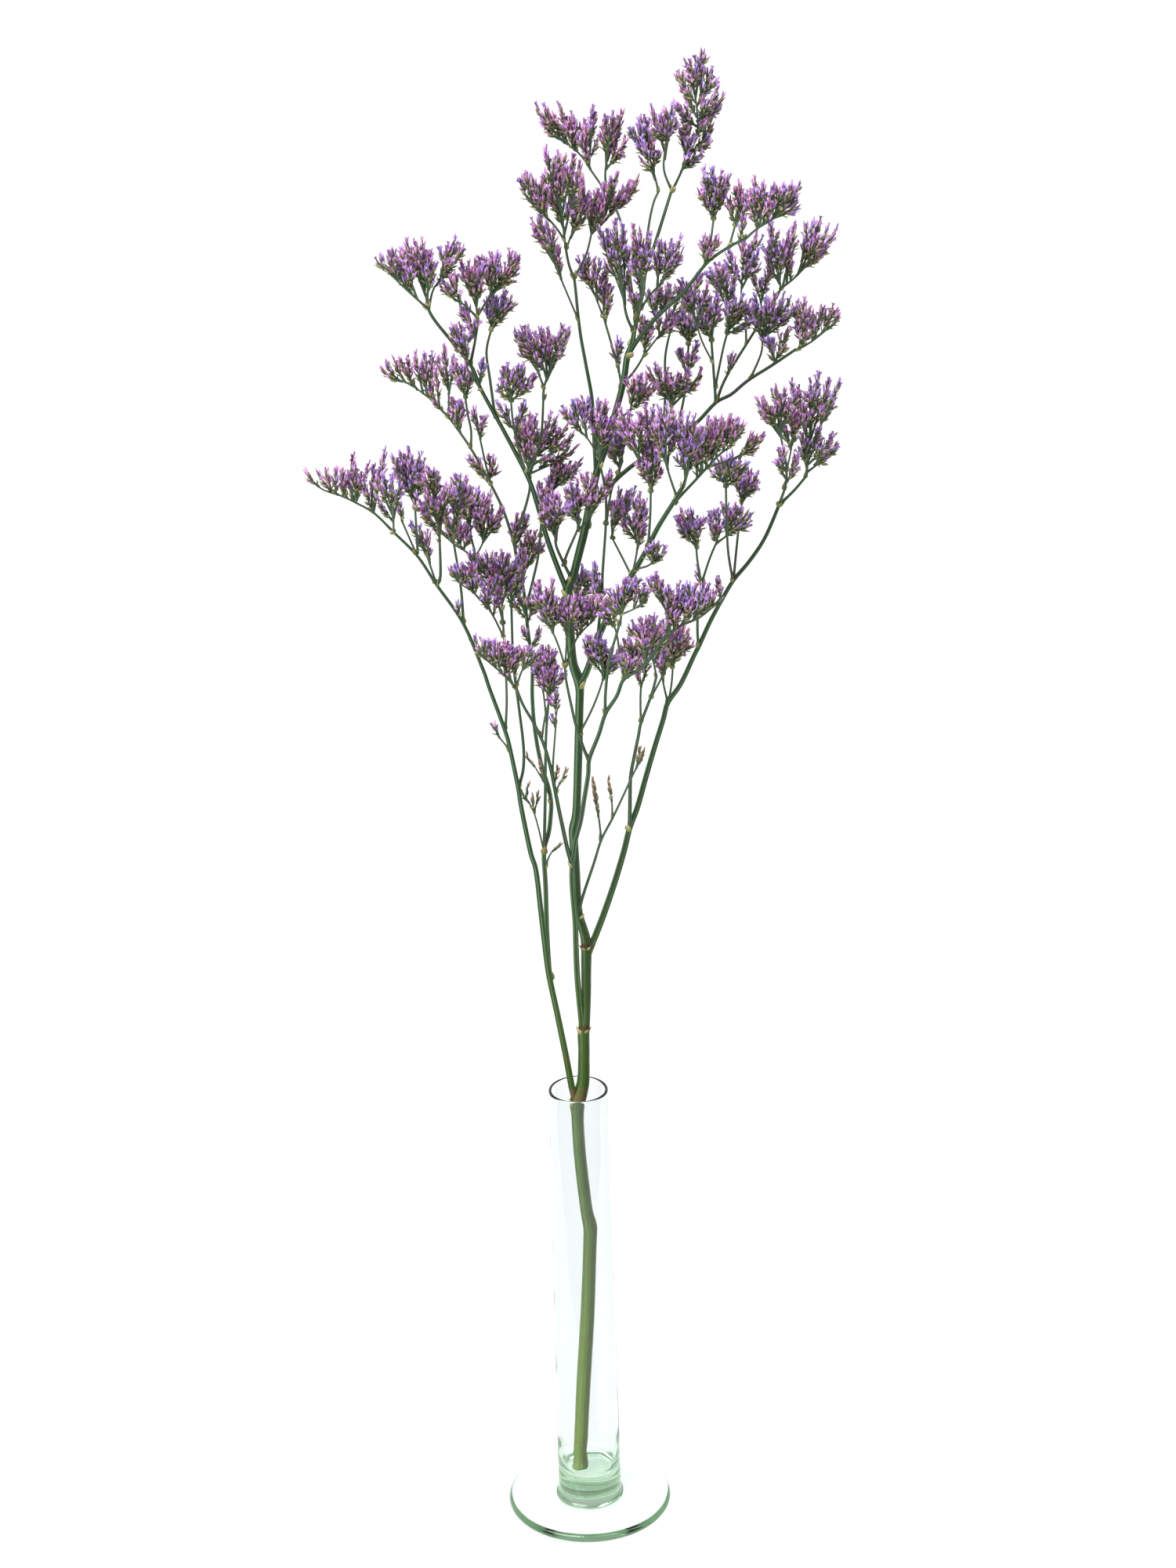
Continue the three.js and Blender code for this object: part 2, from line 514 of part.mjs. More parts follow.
grow("front_right_comb", "front_right_branch", flowerViolet, {
  stems: [
    stem([1.3, 0.8], [[40, 420.3], [47.3, 426.4], [52.2, 428.6], [56.6, 430.7], [63, 436, -58]]),
    stem([0.8, 0.6], [[46.8, 426], [44.2, 430.5], [41, 436.3], [38, 441, -56]]),
  ],
  tufts: [
    tuft([38.5, 440], [[36, 448], [38.3, 450]]),
    tuft([41.5, 435.5], [[40.5, 446], [43.5, 444.8]]),
    tuft([46.5, 426], [[45, 442.5], [47.6, 446], [50, 445], [47, 438]]),
    tuft([51, 428.3], [[51.3, 444], [54.7, 444.5], [53, 439]]),
    tuft([56, 430.5], [[57.8, 445.5], [60.5, 442], [56.5, 438.5]]),
    tuft([61.5, 434.5], [[65, 439.5], [63, 442.5]]),
  ],
});

grow("right_branch", "main_stem", stemGreen, {
  stems: [
    stem([3, 1.5], [[5.4, 278.5], [8.3, 283.5], [10.5, 289], [13.3, 296.5], [18.2, 311], [22.5, 325.5],
      [25.1, 336], [28.6, 345.5], [32.1, 358], [36, 371.5], [40.3, 385.5], [42.3, 392.8], [47.8, 401],
      [53.8, 414], [55.8, 418], [60.5, 428.5], [65.5, 438], [70.4, 446.4], [77, 454.5], [83.5, 464.5],
      [89.6, 479, 28]]),
    stem([1.2, 1], [[55.6, 417.5], [55.2, 424], [55.6, 434], [57.3, 446, 12]]),
    stem([1, 0.9], [[57.2, 445], [55.6, 455], [55.2, 461, 8]]),
    stem([1, 0.9], [[57.2, 445.5], [60.6, 456], [63.5, 463, 14]]),
    stem([1.1, 0.9], [[70.2, 446], [68.3, 459], [67.8, 476], [67.7, 487, 4]]),
    stem([1.1, 0.9], [[70.4, 446.5], [72.4, 466], [74.2, 480, 24]]),
    stem([0.9, 0.8], [[42.3, 393], [40.9, 399.7], [39.9, 406, 26]]),
    stem([0.9, 0.8], [[42.6, 393], [44, 401], [44.7, 409, 30]]),
    stem([1.3, 1.1], [[89.4, 478.5], [91.8, 485.5, 22]]),
    stem([1.3, 1.1], [[89.6, 478.8], [95.5, 484.5], [100.5, 490.5, 34]]),
    stem([0.9, 0.8], [[44.7, 408], [44.4, 411.5, 30]]),
    stem([0.9, 0.7], [[55.2, 460.5], [55.3, 463.5, 8]]),
    stem([0.9, 0.7], [[63.5, 462.5], [67, 465.3], [70, 467.5, 16]]),
    stem([0.9, 0.8], [[67.7, 486.5], [67.7, 490, 4]]),
    stem([0.9, 0.8], [[74.2, 479.5], [74.4, 482, 24]]),
  ],
  tufts: [
    tuft([65.3, 437.5], [[64.2, 447.5]]),
    tuft([56.9, 444], [[55.8, 452]]),
    tuft([39.9, 405], [[38.6, 416.5], [41, 416]]),
    tuft([44.5, 410.5], [[44.5, 422], [48.8, 420], [46.5, 425], [41.5, 421]]),
    tuft([55.3, 462.5], [[47, 474], [49, 478.5], [53.5, 477.5], [56.5, 474]]),
    tuft([64, 463], [[60.8, 476], [64.5, 477.5], [61, 470.5]]),
    tuft([68.5, 466], [[67.6, 480], [71.4, 479.5], [74.5, 477], [78, 475.5]]),
    tuft([67.7, 489.5], [[63, 497.5], [66, 500.5], [70.5, 502], [74, 499.5], [77, 497]]),
    tuft([74.3, 481.5], [[72, 491.5], [75.2, 494], [78.2, 494], [80.7, 493]]),
  ],
});

grow("right_end_head", "right_branch", flowerViolet, {
  stems: [
    stem([1.1, 0.8], [[91.8, 485], [92.6, 494], [90.6, 506], [89.5, 512.5, 18]]),
    stem([0.8, 0.7], [[92.5, 493], [94.2, 500.5], [95, 506, 26]]),
  ],
  tufts: [
    tuft([89.6, 511.5], [[80.6, 524.7], [83, 525.5], [88.3, 529.3], [92, 528.5], [95.7, 527.5]]),
    tuft([94.9, 505.5], [[91.5, 514], [96, 520], [98.3, 518.5]]),
    tuft([92.7, 492.5], [[89, 498], [89.5, 503], [97.5, 500]]),
  ],
});

grow("right_end_tall_head", "right_branch", flowerViolet, {
  stems: [stem([1.1, 0.8], [[100.5, 490], [101.5, 499], [102.3, 508.5, 40]])],
  tufts: [
    tuft([102.3, 507.5], [[94.8, 532], [97.5, 529.5], [102.5, 531.5], [105.6, 534.5], [110, 532.5],
      [114.3, 532]]),
    tuft([101.3, 497], [[98.7, 509], [106.2, 510.5], [111.8, 508.5], [113.5, 505.5]]),
  ],
});

grow("right_inner_branch", "right_branch", stemGreen, {
  stems: [
    stem([1.7, 1.1], [[25.1, 335.5], [25.5, 346], [26, 359], [27.5, 367.6], [29.9, 379], [30.9, 384],
      [35.5, 396.4], [37.8, 404.8, -10]]),
    stem([1, 0.8], [[30.9, 384], [30.8, 392], [31.3, 400.5], [33.5, 406, 14]]),
    stem([0.9, 0.8], [[35, 395], [38, 400.3], [42.6, 409.5, 0]]),
    stem([0.9, 0.7], [[37.8, 404.5], [37, 409], [36, 415, -14]]),
  ],
  tufts: [
    tuft([33.3, 405.5], [[34, 416], [30.3, 414]]),
    tuft([31.2, 400], [[30, 409.5]]),
    tuft([36.2, 414], [[35.8, 425.5], [38.5, 424.5], [40, 427.5], [43, 428.5]]),
  ],
});

grow("right_inner_head", "right_inner_branch", flowerViolet, {
  stems: [stem([0.9, 0.8], [[42.5, 409], [44, 412.5, 0]])],
  tufts: [tuft([43.8, 412], [[45, 425.5], [47.5, 426.5], [49.6, 427], [51.5, 425.5], [51.8, 422]])],
});

grow("budded_twig", "main_stem", stemGreen, {
  stems: [
    stem([1.4, 0.8], [[2, 295.5], [4.5, 305], [9.6, 320.3], [12.9, 330.7], [17.9, 340.6], [22.3, 350],
      [27.4, 361.3], [30, 366, -24]]),
    stem([0.9, 0.8], [[12.9, 330.5], [12.3, 339], [11.3, 347, -10]]),
    stem([0.8, 0.7], [[18, 341], [17.8, 350, -14]]),
  ],
  tufts: [
    tuft([11.4, 345], [[10.3, 360]]),
    tuft([11.8, 341.5], [[11.3, 352]]),
    tuft([17.8, 348.5], [[16.6, 360]]),
    tuft([29.7, 365.5], [[30.2, 373.5], [32.3, 373]]),
  ],
});

grow("middle_right_branch", "main_stem", stemGreen, {
  stems: [
    stem([3, 1.7], [[5.6, 402], [9, 408.5], [13.7, 422], [20, 436], [28, 449], [34.6, 460.5],
      [39.7, 470.5], [46.2, 481], [50.3, 488, -42]]),
    stem([1.3, 0.9], [[13.4, 421], [15.8, 442.4], [16.4, 452], [18.2, 473], [18.3, 486], [16.5, 498, -16]]),
    stem([1.1, 0.9], [[35.4, 462], [36.5, 476], [36.9, 486, -26]]),
    stem([1, 0.8], [[28.3, 449.5], [24.5, 458], [20.8, 466, 6]]),
    stem([0.9, 0.8], [[28.6, 450], [30.5, 459], [31.2, 464, 2]]),
    stem([1, 0.8], [[18.3, 472], [20.6, 486], [23.5, 494, 10]]),
    stem([0.9, 0.8], [[30, 452.5], [34.5, 453.5], [37, 455, -34]]),
    stem([0.8, 0.7], [[37, 454.5], [38.2, 456.5, -34]]),
    stem([0.9, 0.7], [[20.9, 465.5], [20.4, 474, 6]]),
    stem([0.9, 0.7], [[31.2, 463.5], [31, 467, 0]]),
    stem([0.9, 0.8], [[23.5, 493.5], [25.7, 499.5, 12]]),
    stem([1, 0.8], [[47.5, 483.2], [44.5, 493], [43, 500.5, -50]]),
  ],
  tufts: [
    tuft([18.3, 483], [[20.5, 495.5]]),
    tuft([31.2, 461], [[33.5, 473]]),
    tuft([14.3, 435], [[14.1, 447], [12.9, 456.5]]),
    tuft([37.5, 455.3], [[34.5, 461], [37.5, 464.5], [40, 463.5], [42.5, 461.5]]),
    tuft([20.4, 473.5], [[24.5, 487], [27, 485.5], [30.5, 488], [22.5, 482]]),
    tuft([31, 466], [[24, 474.5], [25.5, 481], [32, 485], [34.3, 482.5]]),
    tuft([25.5, 498.5], [[20.5, 508], [22.7, 513], [25.5, 520], [29, 520.5]]),
    tuft([43, 499.5], [[41.2, 522], [44, 523], [46.5, 520], [39.5, 515]]),
  ],
});

grow("centre_head", "middle_right_branch", flowerViolet, {
  stems: [
    stem([0.9, 0.8], [[16.6, 497], [16, 506, -18]]),
    stem([0.8, 0.7], [[16.3, 500], [12.5, 508], [8, 513.5, -20]]),
  ],
  tufts: [
    tuft([8.3, 513], [[2.5, 523], [6.2, 526], [10, 527.5]]),
    tuft([15.8, 504.5], [[12.7, 527], [16.3, 526], [19.3, 526], [24.3, 525], [20.5, 517]]),
  ],
});

grow("big_head_left", "middle_right_branch", flowerViolet, {
  stems: [
    stem([1, 0.8], [[36.9, 485.5], [37.2, 496, -24]]),
    stem([0.8, 0.7], [[36.9, 488], [32.8, 498], [30.5, 504, -30]]),
  ],
  tufts: [
    tuft([30.8, 503], [[25, 521], [28.5, 520.5], [33, 520], [27, 514]]),
    tuft([37.2, 495], [[35.7, 523], [38.3, 522], [33.5, 511], [39.5, 511.5]]),
    tuft([36.9, 489], [[32, 498.5], [40.5, 500]]),
  ],
});

grow("big_head_middle", "middle_right_branch", flowerViolet, {
  stems: [stem([1.3, 1], [[50.2, 487.6], [52.6, 495.5, -46]])],
  tufts: [
    tuft([52.4, 494.5], [[49.5, 519], [52.5, 518], [55, 517.5], [50, 510.5], [56.5, 511]]),
  ],
});

grow("big_head_right", "middle_right_branch", flowerViolet, {
  stems: [
    stem([1.3, 0.8], [[46, 480.5], [55, 490], [65.3, 501], [70, 504, -34]]),
    stem([0.8, 0.7], [[60, 495.3], [68, 498], [74.3, 500, -24]]),
  ],
  tufts: [
    tuft([58, 493.5], [[58, 513], [61, 517.5], [55.5, 507]]),
    tuft([64, 499.5], [[63.8, 517], [66.5, 517.5], [61, 511]]),
    tuft([69.3, 503.5], [[70, 517.5], [73, 516.5], [75.3, 515]]),
    tuft([73.8, 499.5], [[78.5, 509.5], [83.7, 510]]),
  ],
});

grow("head_by_the_fork", "main_stem", flowerViolet, {
  stems: [
    stem([1.4, 1], [[3.6, 448.8], [0.6, 455.5], [-2.6, 464], [-2.2, 470, -14]]),
    stem([1.2, 0.9], [[0, 455], [2.3, 461], [6.3, 470], [8, 475, -18]]),
    stem([0.9, 0.8], [[6.3, 470], [10.5, 474], [12, 478, -16]]),
  ],
  tufts: [
    tuft([-2.3, 469.5], [[-8.8, 482.5], [-6.5, 485], [-3.8, 487], [-0.5, 485]]),
    tuft([7.8, 474], [[2, 488], [4, 491.5], [7, 491], [3.5, 483]]),
    tuft([11.8, 477.5], [[10.8, 494.5], [14, 488], [16.8, 489.5], [13.5, 483.5]]),
  ],
});

grow("upper_left_branch", "main_stem", stemGreen, {
  stems: [
    stem([2.3, 1.2], [[1.8, 443], [-1.6, 452.6], [-6.1, 467], [-10, 483], [-13.3, 494],
      [-21.8, 512.5], [-31, 531.5], [-35, 542], [-48, 560], [-51, 566, -38]]),
    stem([1.2, 0.9], [[-13, 493.5], [-8.8, 505], [-6.9, 513.5], [-5.9, 527, -8]]),
    stem([1, 0.8], [[-14.2, 496.5], [-17, 507], [-18.5, 517], [-19, 526, -30]]),
    stem([1.2, 0.9], [[-25.6, 519], [-27.2, 535.5], [-28.2, 547], [-26, 556, -12]]),
    stem([1.2, 0.9], [[-35, 542], [-33, 550], [-31, 560, -26]]),
    stem([0.9, 0.8], [[-31, 531.5], [-36, 540], [-36.3, 546, -34]]),
    stem([0.9, 0.8], [[-19, 525.5], [-19, 529, -30]]),
    stem([0.9, 0.8], [[-26, 555.5], [-25.3, 559, -12]]),
  ],
  tufts: [
    tuft([-18.2, 514], [[-24, 525.5], [-14.5, 525.5]]),
    tuft([-31, 533.5], [[-29.5, 543.5]]),
    tuft([-36.3, 545.5], [[-42.5, 557.5], [-40, 558.5], [-37, 556.5]]),
    tuft([-19, 528], [[-24.5, 533], [-22.3, 539.5], [-20, 541.5], [-16, 540], [-13.5, 542], [-8.5, 537.5]]),
    tuft([-25.4, 558], [[-27.4, 569], [-24.2, 571], [-19.3, 572], [-17.3, 569.5]]),
    tuft([-32.5, 556], [[-38, 567], [-35.5, 564]]),
  ],
});

grow("inner_upper_head", "upper_left_branch", flowerViolet, {
  stems: [
    stem([1, 0.8], [[-5.9, 526.5], [-5.4, 532], [-2.6, 539, -6]]),
    stem([0.9, 0.8], [[-5.4, 531], [-9, 542, -12]]),
  ],
  tufts: [
    tuft([-9, 541], [[-16.7, 556], [-13.8, 557], [-10.7, 554.5]]),
    tuft([-2.8, 538], [[-8.5, 555], [-6, 557], [-3, 556.5], [2.7, 557.5], [5.3, 556.5]]),
  ],
});

grow("upper_left_end_head", "upper_left_branch", flowerViolet, {
  stems: [
    stem([1, 0.7], [[-51, 565.5], [-60, 574.5], [-66, 581, -46]]),
    stem([0.9, 0.7], [[-50.8, 566], [-52.5, 576, -34]]),
    stem([0.9, 0.7], [[-50.6, 565.5], [-48.5, 573.5], [-44, 579, -28]]),
  ],
  tufts: [
    tuft([-64.5, 579], [[-69.3, 588.5], [-66, 590]]),
    tuft([-59, 573.5], [[-63.5, 588.5], [-60.5, 591], [-62, 582.5]]),
    tuft([-52.5, 575], [[-58.5, 594], [-55, 593], [-52, 593.5], [-49, 590]]),
    tuft([-44.5, 578], [[-41.8, 592], [-39, 595], [-36.8, 590.5], [-42.5, 585.5]]),
  ],
});

grow("upper_left_middle_head", "upper_left_branch", flowerViolet, {
  stems: [
    stem([1, 0.8], [[-31, 559.5], [-31.5, 565], [-32, 569, -26]]),
    stem([0.9, 0.7], [[-31.6, 561.5], [-36, 566.5], [-40.5, 569, -34]]),
    stem([0.9, 0.7], [[-30.9, 562.5], [-27, 568.5], [-22, 574, -18]]),
  ],
  tufts: [
    tuft([-39.5, 568.3], [[-44.8, 577.5], [-41.5, 579]]),
    tuft([-32, 568], [[-37, 585], [-34, 582], [-31.3, 585.5], [-29, 583]]),
    tuft([-23.5, 572], [[-28.3, 587], [-24.8, 588], [-22.3, 587.5], [-26.3, 580.5]]),
    tuft([-22, 573.5], [[-18.5, 583], [-15.2, 587.5], [-13.3, 586.5], [-17.5, 578]]),
  ],
});

grow("upper_middle_branch", "main_stem", stemGreen, {
  stems: [
    stem([1.7, 1.1], [[14.7, 493], [14.3, 509], [13.8, 526], [11.8, 540], [9.7, 554.5], [8.3, 572.5],
      [7.9, 577, -12]]),
    stem([0.8, 0.7], [[9.2, 559], [3.5, 574], [-1, 586, -22]]),
  ],
  tufts: [
    tuft([3, 576], [[1, 589.5]]),
    tuft([-0.8, 585.5], [[-8, 600.5], [-5.3, 603], [-2.4, 600.5]]),
  ],
});

grow("upper_middle_left_head", "upper_middle_branch", flowerViolet, {
  stems: [
    stem([1.1, 0.8], [[7.9, 576.5], [6, 582], [4.8, 590], [4, 600], [3, 610, -18]]),
    stem([0.9, 0.7], [[4.6, 592], [0, 599], [-6, 605], [-10, 609.5, -28]]),
    stem([0.8, 0.7], [[5.1, 588.5], [8, 596, -8]]),
  ],
  tufts: [
    tuft([-9, 608.5], [[-12.3, 617.5], [-9.5, 620]]),
    tuft([-3.5, 602.7], [[-6, 616.5], [-3, 619], [-8, 611.5]]),
    tuft([3, 608.5], [[-2, 629.5], [3, 628], [9, 627], [5.5, 622], [0.5, 620.5]]),
    tuft([4, 600], [[-0.5, 613], [11.5, 623.5], [8.5, 611.5]]),
    tuft([7.8, 595], [[10, 609], [13.3, 608]]),
  ],
});

grow("upper_middle_right_head", "upper_middle_branch", flowerViolet, {
  stems: [
    stem([1, 0.8], [[7.9, 576.5], [13, 586], [15.5, 595.5, 4]]),
    stem([0.8, 0.7], [[15.3, 594.5], [19, 597.5], [25, 604, 12]]),
  ],
  tufts: [
    tuft([15.4, 594.5], [[12, 617], [15, 611.5], [18.3, 612], [20.5, 606]]),
    tuft([19.5, 598], [[22.5, 615], [26, 619.5]]),
    tuft([25, 603.3], [[31, 615.5], [34.7, 617.5], [28.5, 613]]),
  ],
});

grow("small_middle_head", "main_stem", flowerViolet, {
  stems: [
    stem([1, 0.9], [[26, 530], [24.5, 539.5], [19.2, 560.5, 16]]),
    stem([0.8, 0.7], [[19.2, 560], [15, 572.5, 14]]),
  ],
  tufts: [
    tuft([15, 572], [[9.8, 584.5], [12, 586], [16, 584.5]]),
    tuft([19.2, 560.5], [[20.8, 582], [21.5, 573.5]]),
    tuft([24.8, 537], [[24.8, 551.5]]),
  ],
});

grow("top_branch", "main_stem", stemGreen, {
  stems: [
    stem([2, 1.6], [[30.6, 547.5], [31.3, 553], [32.8, 559, 6]]),
    stem([1.6, 1.2], [[32.6, 558], [36, 576], [41, 591], [47.5, 611, 28]]),
    stem([1.1, 0.9], [[34.5, 568], [37.6, 593.5], [40, 605.5], [42.5, 611, 36]]),
    stem([1.2, 1], [[32.2, 557.5], [30, 578], [27, 599], [21.7, 611, 44]]),
    stem([0.9, 0.7], [[42.3, 610.5], [40, 620], [36.5, 627, 38]]),
    stem([1.2, 0.9], [[31.4, 553.5], [28.4, 561], [27, 573, -6]]),
  ],
  tufts: [
    tuft([37, 626], [[32.5, 637], [35, 640.5], [38.3, 639.5]]),
    tuft([40.3, 618], [[40.5, 630.5], [36.5, 631.5]]),
    tuft([27.2, 572], [[18.5, 597], [21.5, 596.5], [24.5, 600], [28, 598]]),
  ],
});

grow("crown_head", "top_branch", flowerViolet, {
  stems: [
    stem([1.1, 0.9], [[32.5, 557.8], [33.9, 562.5], [36, 572, -16]]),
    stem([1, 0.8], [[34, 562.8], [39, 569.5], [43.5, 573.5, -14]]),
  ],
  tufts: [
    tuft([36, 571.5], [[32, 597.5], [34.5, 595.5], [38.5, 594], [31.5, 588.5]]),
    tuft([43, 573], [[42.3, 591.5], [47, 590.5], [50.7, 592.5], [51.5, 587]]),
    tuft([32.8, 561], [[30.3, 573.5]]),
  ],
});

grow("top_left_head", "top_branch", flowerViolet, {
  stems: [
    stem([1, 0.7], [[21.8, 610.5], [16, 619.5], [11, 627], [2.5, 633.5, 52]]),
    stem([1, 0.8], [[21.9, 610.5], [21.3, 618], [22.5, 626, 38]]),
  ],
  tufts: [
    tuft([3.5, 632.7], [[-5.7, 647.5], [-2, 646.5], [-3, 640.5]]),
    tuft([9.5, 628.3], [[4, 647], [9, 642.5], [7, 639]]),
    tuft([14.5, 622], [[17, 645.5], [13.5, 640], [12.5, 635]]),
    tuft([22.3, 625], [[21.5, 641], [25, 643], [28.5, 643.5], [29.8, 633]]),
  ],
});

grow("top_right_plume", "top_branch", flowerViolet, {
  stems: [
    stem([1.1, 0.7], [[47.5, 610.5], [51, 617.5], [57.5, 632], [58, 642], [57, 650, 34]]),
    stem([1, 0.7], [[47.5, 611], [44.5, 620], [46, 632, 24]]),
  ],
  tufts: [
    tuft([57, 649], [[50, 657.5], [55.5, 663], [60.3, 666.5], [64.5, 658.5]]),
    tuft([57.9, 640], [[50, 646], [53, 652.5], [66.5, 652], [68.5, 649]]),
    tuft([56.5, 630], [[64.5, 637], [64, 630.5], [62.5, 644], [53, 641.5]]),
    tuft([52, 619.5], [[60, 626.5], [56.5, 633.5]]),
    tuft([46, 631], [[40.2, 645], [43, 639.5], [45.7, 643.5], [48.3, 645]]),
  ],
});

grow("top_right_branch", "main_stem", stemGreen, {
  stems: [
    stem([1.9, 1.1], [[28.8, 544], [33.5, 551], [40, 558.8], [51.8, 569.7], [61, 581], [69.3, 587],
      [76, 590.3, -24]]),
    stem([1, 0.8], [[61, 581], [62.7, 590], [64, 599, -8]]),
    stem([0.9, 0.8], [[70, 587.3], [72.5, 596, -12]]),
    stem([0.9, 0.8], [[72.5, 595.5], [73.3, 599, -12]]),
  ],
  tufts: [
    tuft([61, 580], [[60.5, 592.5], [65, 592.5]]),
    tuft([74, 589.3], [[76, 600]]),
    tuft([73.2, 598], [[70, 607], [74.3, 614], [79.5, 611], [76, 606]]),
  ],
});

grow("top_right_end_head", "top_right_branch", flowerViolet, {
  stems: [stem([1, 0.7], [[76, 590], [81.3, 594.5], [86.5, 597.5], [90, 600, -28]])],
  tufts: [
    tuft([81.5, 594.5], [[80.5, 615.5], [79, 607]]),
    tuft([84.5, 596.3], [[84, 613], [87.8, 612], [86, 606]]),
    tuft([89, 599.3], [[92, 612.5], [95.5, 612.5], [98.8, 613], [97.8, 606]]),
  ],
});

grow("top_right_tall_head", "top_right_branch", flowerViolet, {
  stems: [stem([0.9, 0.8], [[64, 598.5], [64.2, 602, -8]])],
  tufts: [
    tuft([64.1, 601], [[59.5, 611.5], [60.3, 620], [63.5, 620], [67.3, 618], [70.3, 616]]),
  ],
});

grow("right_upper_branch", "main_stem", stemGreen, {
  stems: [
    stem([2, 1.2], [[10, 471.5], [13, 479], [20, 488.5], [28, 496], [38, 503], [47, 509], [55.8, 514.5],
      [64, 523], [70.3, 526.3], [77.2, 532], [87.2, 538.2], [96.7, 544.5, 34]]),
    stem([1.2, 1], [[64, 523], [63.3, 535], [62.5, 549, 18]]),
    stem([1, 0.9], [[63.7, 529], [67.3, 546], [69, 552, 26]]),
    stem([1.2, 1], [[64.3, 523.3], [68.3, 533.5], [80, 552.5], [88.3, 566, 46]]),
    stem([1, 0.8], [[78, 532.5], [82.5, 543], [83, 549, 36]]),
    stem([1.1, 0.9], [[38, 503], [44, 514], [46.2, 522, 10]]),
    stem([1.1, 0.9], [[47, 509], [51, 525], [52.6, 540], [53.3, 548, 22]]),
    stem([1.1, 0.9], [[42, 506], [43.5, 527], [43.8, 543], [46.4, 555, 30]]),
    stem([0.9, 0.8], [[69, 551.5], [69.5, 555, 30]]),
    stem([0.9, 0.8], [[53.3, 547.5], [53.5, 551, 22]]),
    stem([0.9, 0.8], [[46.4, 554.5], [47, 562, 34]]),
    stem([0.8, 0.7], [[46.1, 553.5], [42, 558], [39.3, 561, 36]]),
    stem([0.8, 0.7], [[62.9, 540], [58.3, 550, 11], [55, 563, 6]]),
    stem([0.9, 0.7], [[68.9, 551.6], [69.3, 560], [69.3, 568.5, 31]]),
    stem([0.9, 0.7], [[76.5, 546.9], [76.2, 558], [74.7, 568], [75.3, 576, 46]]),
    stem([0.8, 0.7], [[84, 559], [82.7, 563], [82, 567, 50]]),
  ],
  tufts: [
    tuft([88, 539], [[85.5, 550.5], [93.5, 553.5]]),
    tuft([51.8, 536], [[50.3, 546], [56.4, 549]]),
    tuft([69, 533.5], [[70.5, 543.5]]),
    tuft([69.4, 554], [[69, 567], [72, 567.5], [75.3, 567.5], [78.5, 565.5], [79.7, 558]]),
    tuft([53.4, 550], [[47, 561.5], [51, 561], [54, 562], [57.3, 560]]),
    tuft([39.5, 560.5], [[37, 571], [42, 572.5], [46.3, 573]]),
    tuft([47, 561], [[50.3, 571.5], [53.7, 568.5]]),
    tuft([55.1, 562.6], [[50, 574.5], [53, 573.5], [57, 576.5], [61, 572.5]]),
    tuft([69.3, 568.2], [[62.3, 578.5], [64.5, 580.5], [67.5, 580.5], [72.5, 577.5]]),
    tuft([75.2, 575.6], [[69.5, 586], [76, 590], [81, 593.5], [81.7, 586]]),
    tuft([82.1, 566.6], [[79.5, 576], [85.5, 578.5]]),
  ],
});

grow("right_comb", "right_upper_branch", flowerViolet, {
  stems: [stem([1, 0.6], [[96.7, 544], [103, 547.5], [110, 553, 38]])],
  tufts: [
    tuft([109, 552.2], [[114.5, 559], [111.5, 561.5]]),
    tuft([104, 548], [[107, 562], [103.3, 560]]),
    tuft([99.5, 545.5], [[100, 565.5], [97, 563.5], [101.5, 557]]),
  ],
});

grow("right_fan", "right_upper_branch", flowerViolet, {
  stems: [stem([0.9, 0.8], [[83, 548.5], [83.5, 552, 36]])],
  tufts: [
    tuft([83.3, 551], [[77.8, 562], [80, 568], [85, 567], [88, 567.5], [92, 568], [94.5, 566.5],
      [96, 562]]),
  ],
});

grow("right_upper_head", "right_upper_branch", flowerViolet, {
  stems: [
    stem([1, 0.8], [[88.3, 565.5], [90.5, 570], [89.3, 576, 46]]),
    stem([0.9, 0.7], [[90, 569.5], [95, 573], [101, 579, 52]]),
  ],
  tufts: [
    tuft([89.3, 575], [[84.3, 586], [86.5, 598], [88.5, 590], [91.5, 588.5]]),
    tuft([94.5, 572.8], [[93.8, 593.5], [96.3, 597], [94, 585]]),
    tuft([100.5, 578], [[103.7, 598], [106.3, 597.5], [109.5, 595], [113, 594], [109.3, 587.5]]),
  ],
});

grow("right_middle_head", "right_upper_branch", flowerViolet, {
  stems: [stem([1, 0.8], [[62.5, 548.5], [62.4, 552, 18]])],
  tufts: [tuft([62.4, 551], [[57.3, 563], [59.8, 566], [62, 568], [65, 568.5], [58.5, 557]])],
});

grow("right_low_head", "right_upper_branch", flowerViolet, {
  stems: [stem([0.9, 0.8], [[46.2, 521.5], [46.4, 525, 8]])],
  tufts: [
    tuft([46.3, 524], [[36.8, 539], [39.5, 540.5], [44, 537.5], [49, 536], [53, 538], [58.5, 537.5]]),
  ],
});

grow("left_centre_head", "left_branch", flowerViolet, {
  stems: [
    stem([1.1, 0.9], [[-25.3, 430], [-27.2, 439], [-29.8, 445, 14], [-33.4, 450.5], [-35.4, 457.5],
      [-36.2, 463], [-37.5, 470], [-37.5, 477, 18]]),
    stem([0.9, 0.7], [[-35.6, 458.5], [-40, 462.5], [-44.4, 465.5], [-48, 469.5, 22]]),
    stem([0.8, 0.7], [[-35.8, 460], [-33, 465], [-31.5, 469, 14]]),
  ],
  tufts: [
    tuft([-37.5, 476], [[-41.3, 485.5], [-36.5, 490.5], [-33.5, 489.5], [-28.5, 488.5]]),
    tuft([-31.7, 468.3], [[-35.5, 481], [-32, 484], [-28, 482], [-23.7, 481]]),
    tuft([-47, 468.3], [[-51.5, 475.5], [-47.5, 479]]),
    tuft([-42, 464], [[-44.5, 475], [-41.5, 476.5], [-38.5, 473]]),
  ],
});

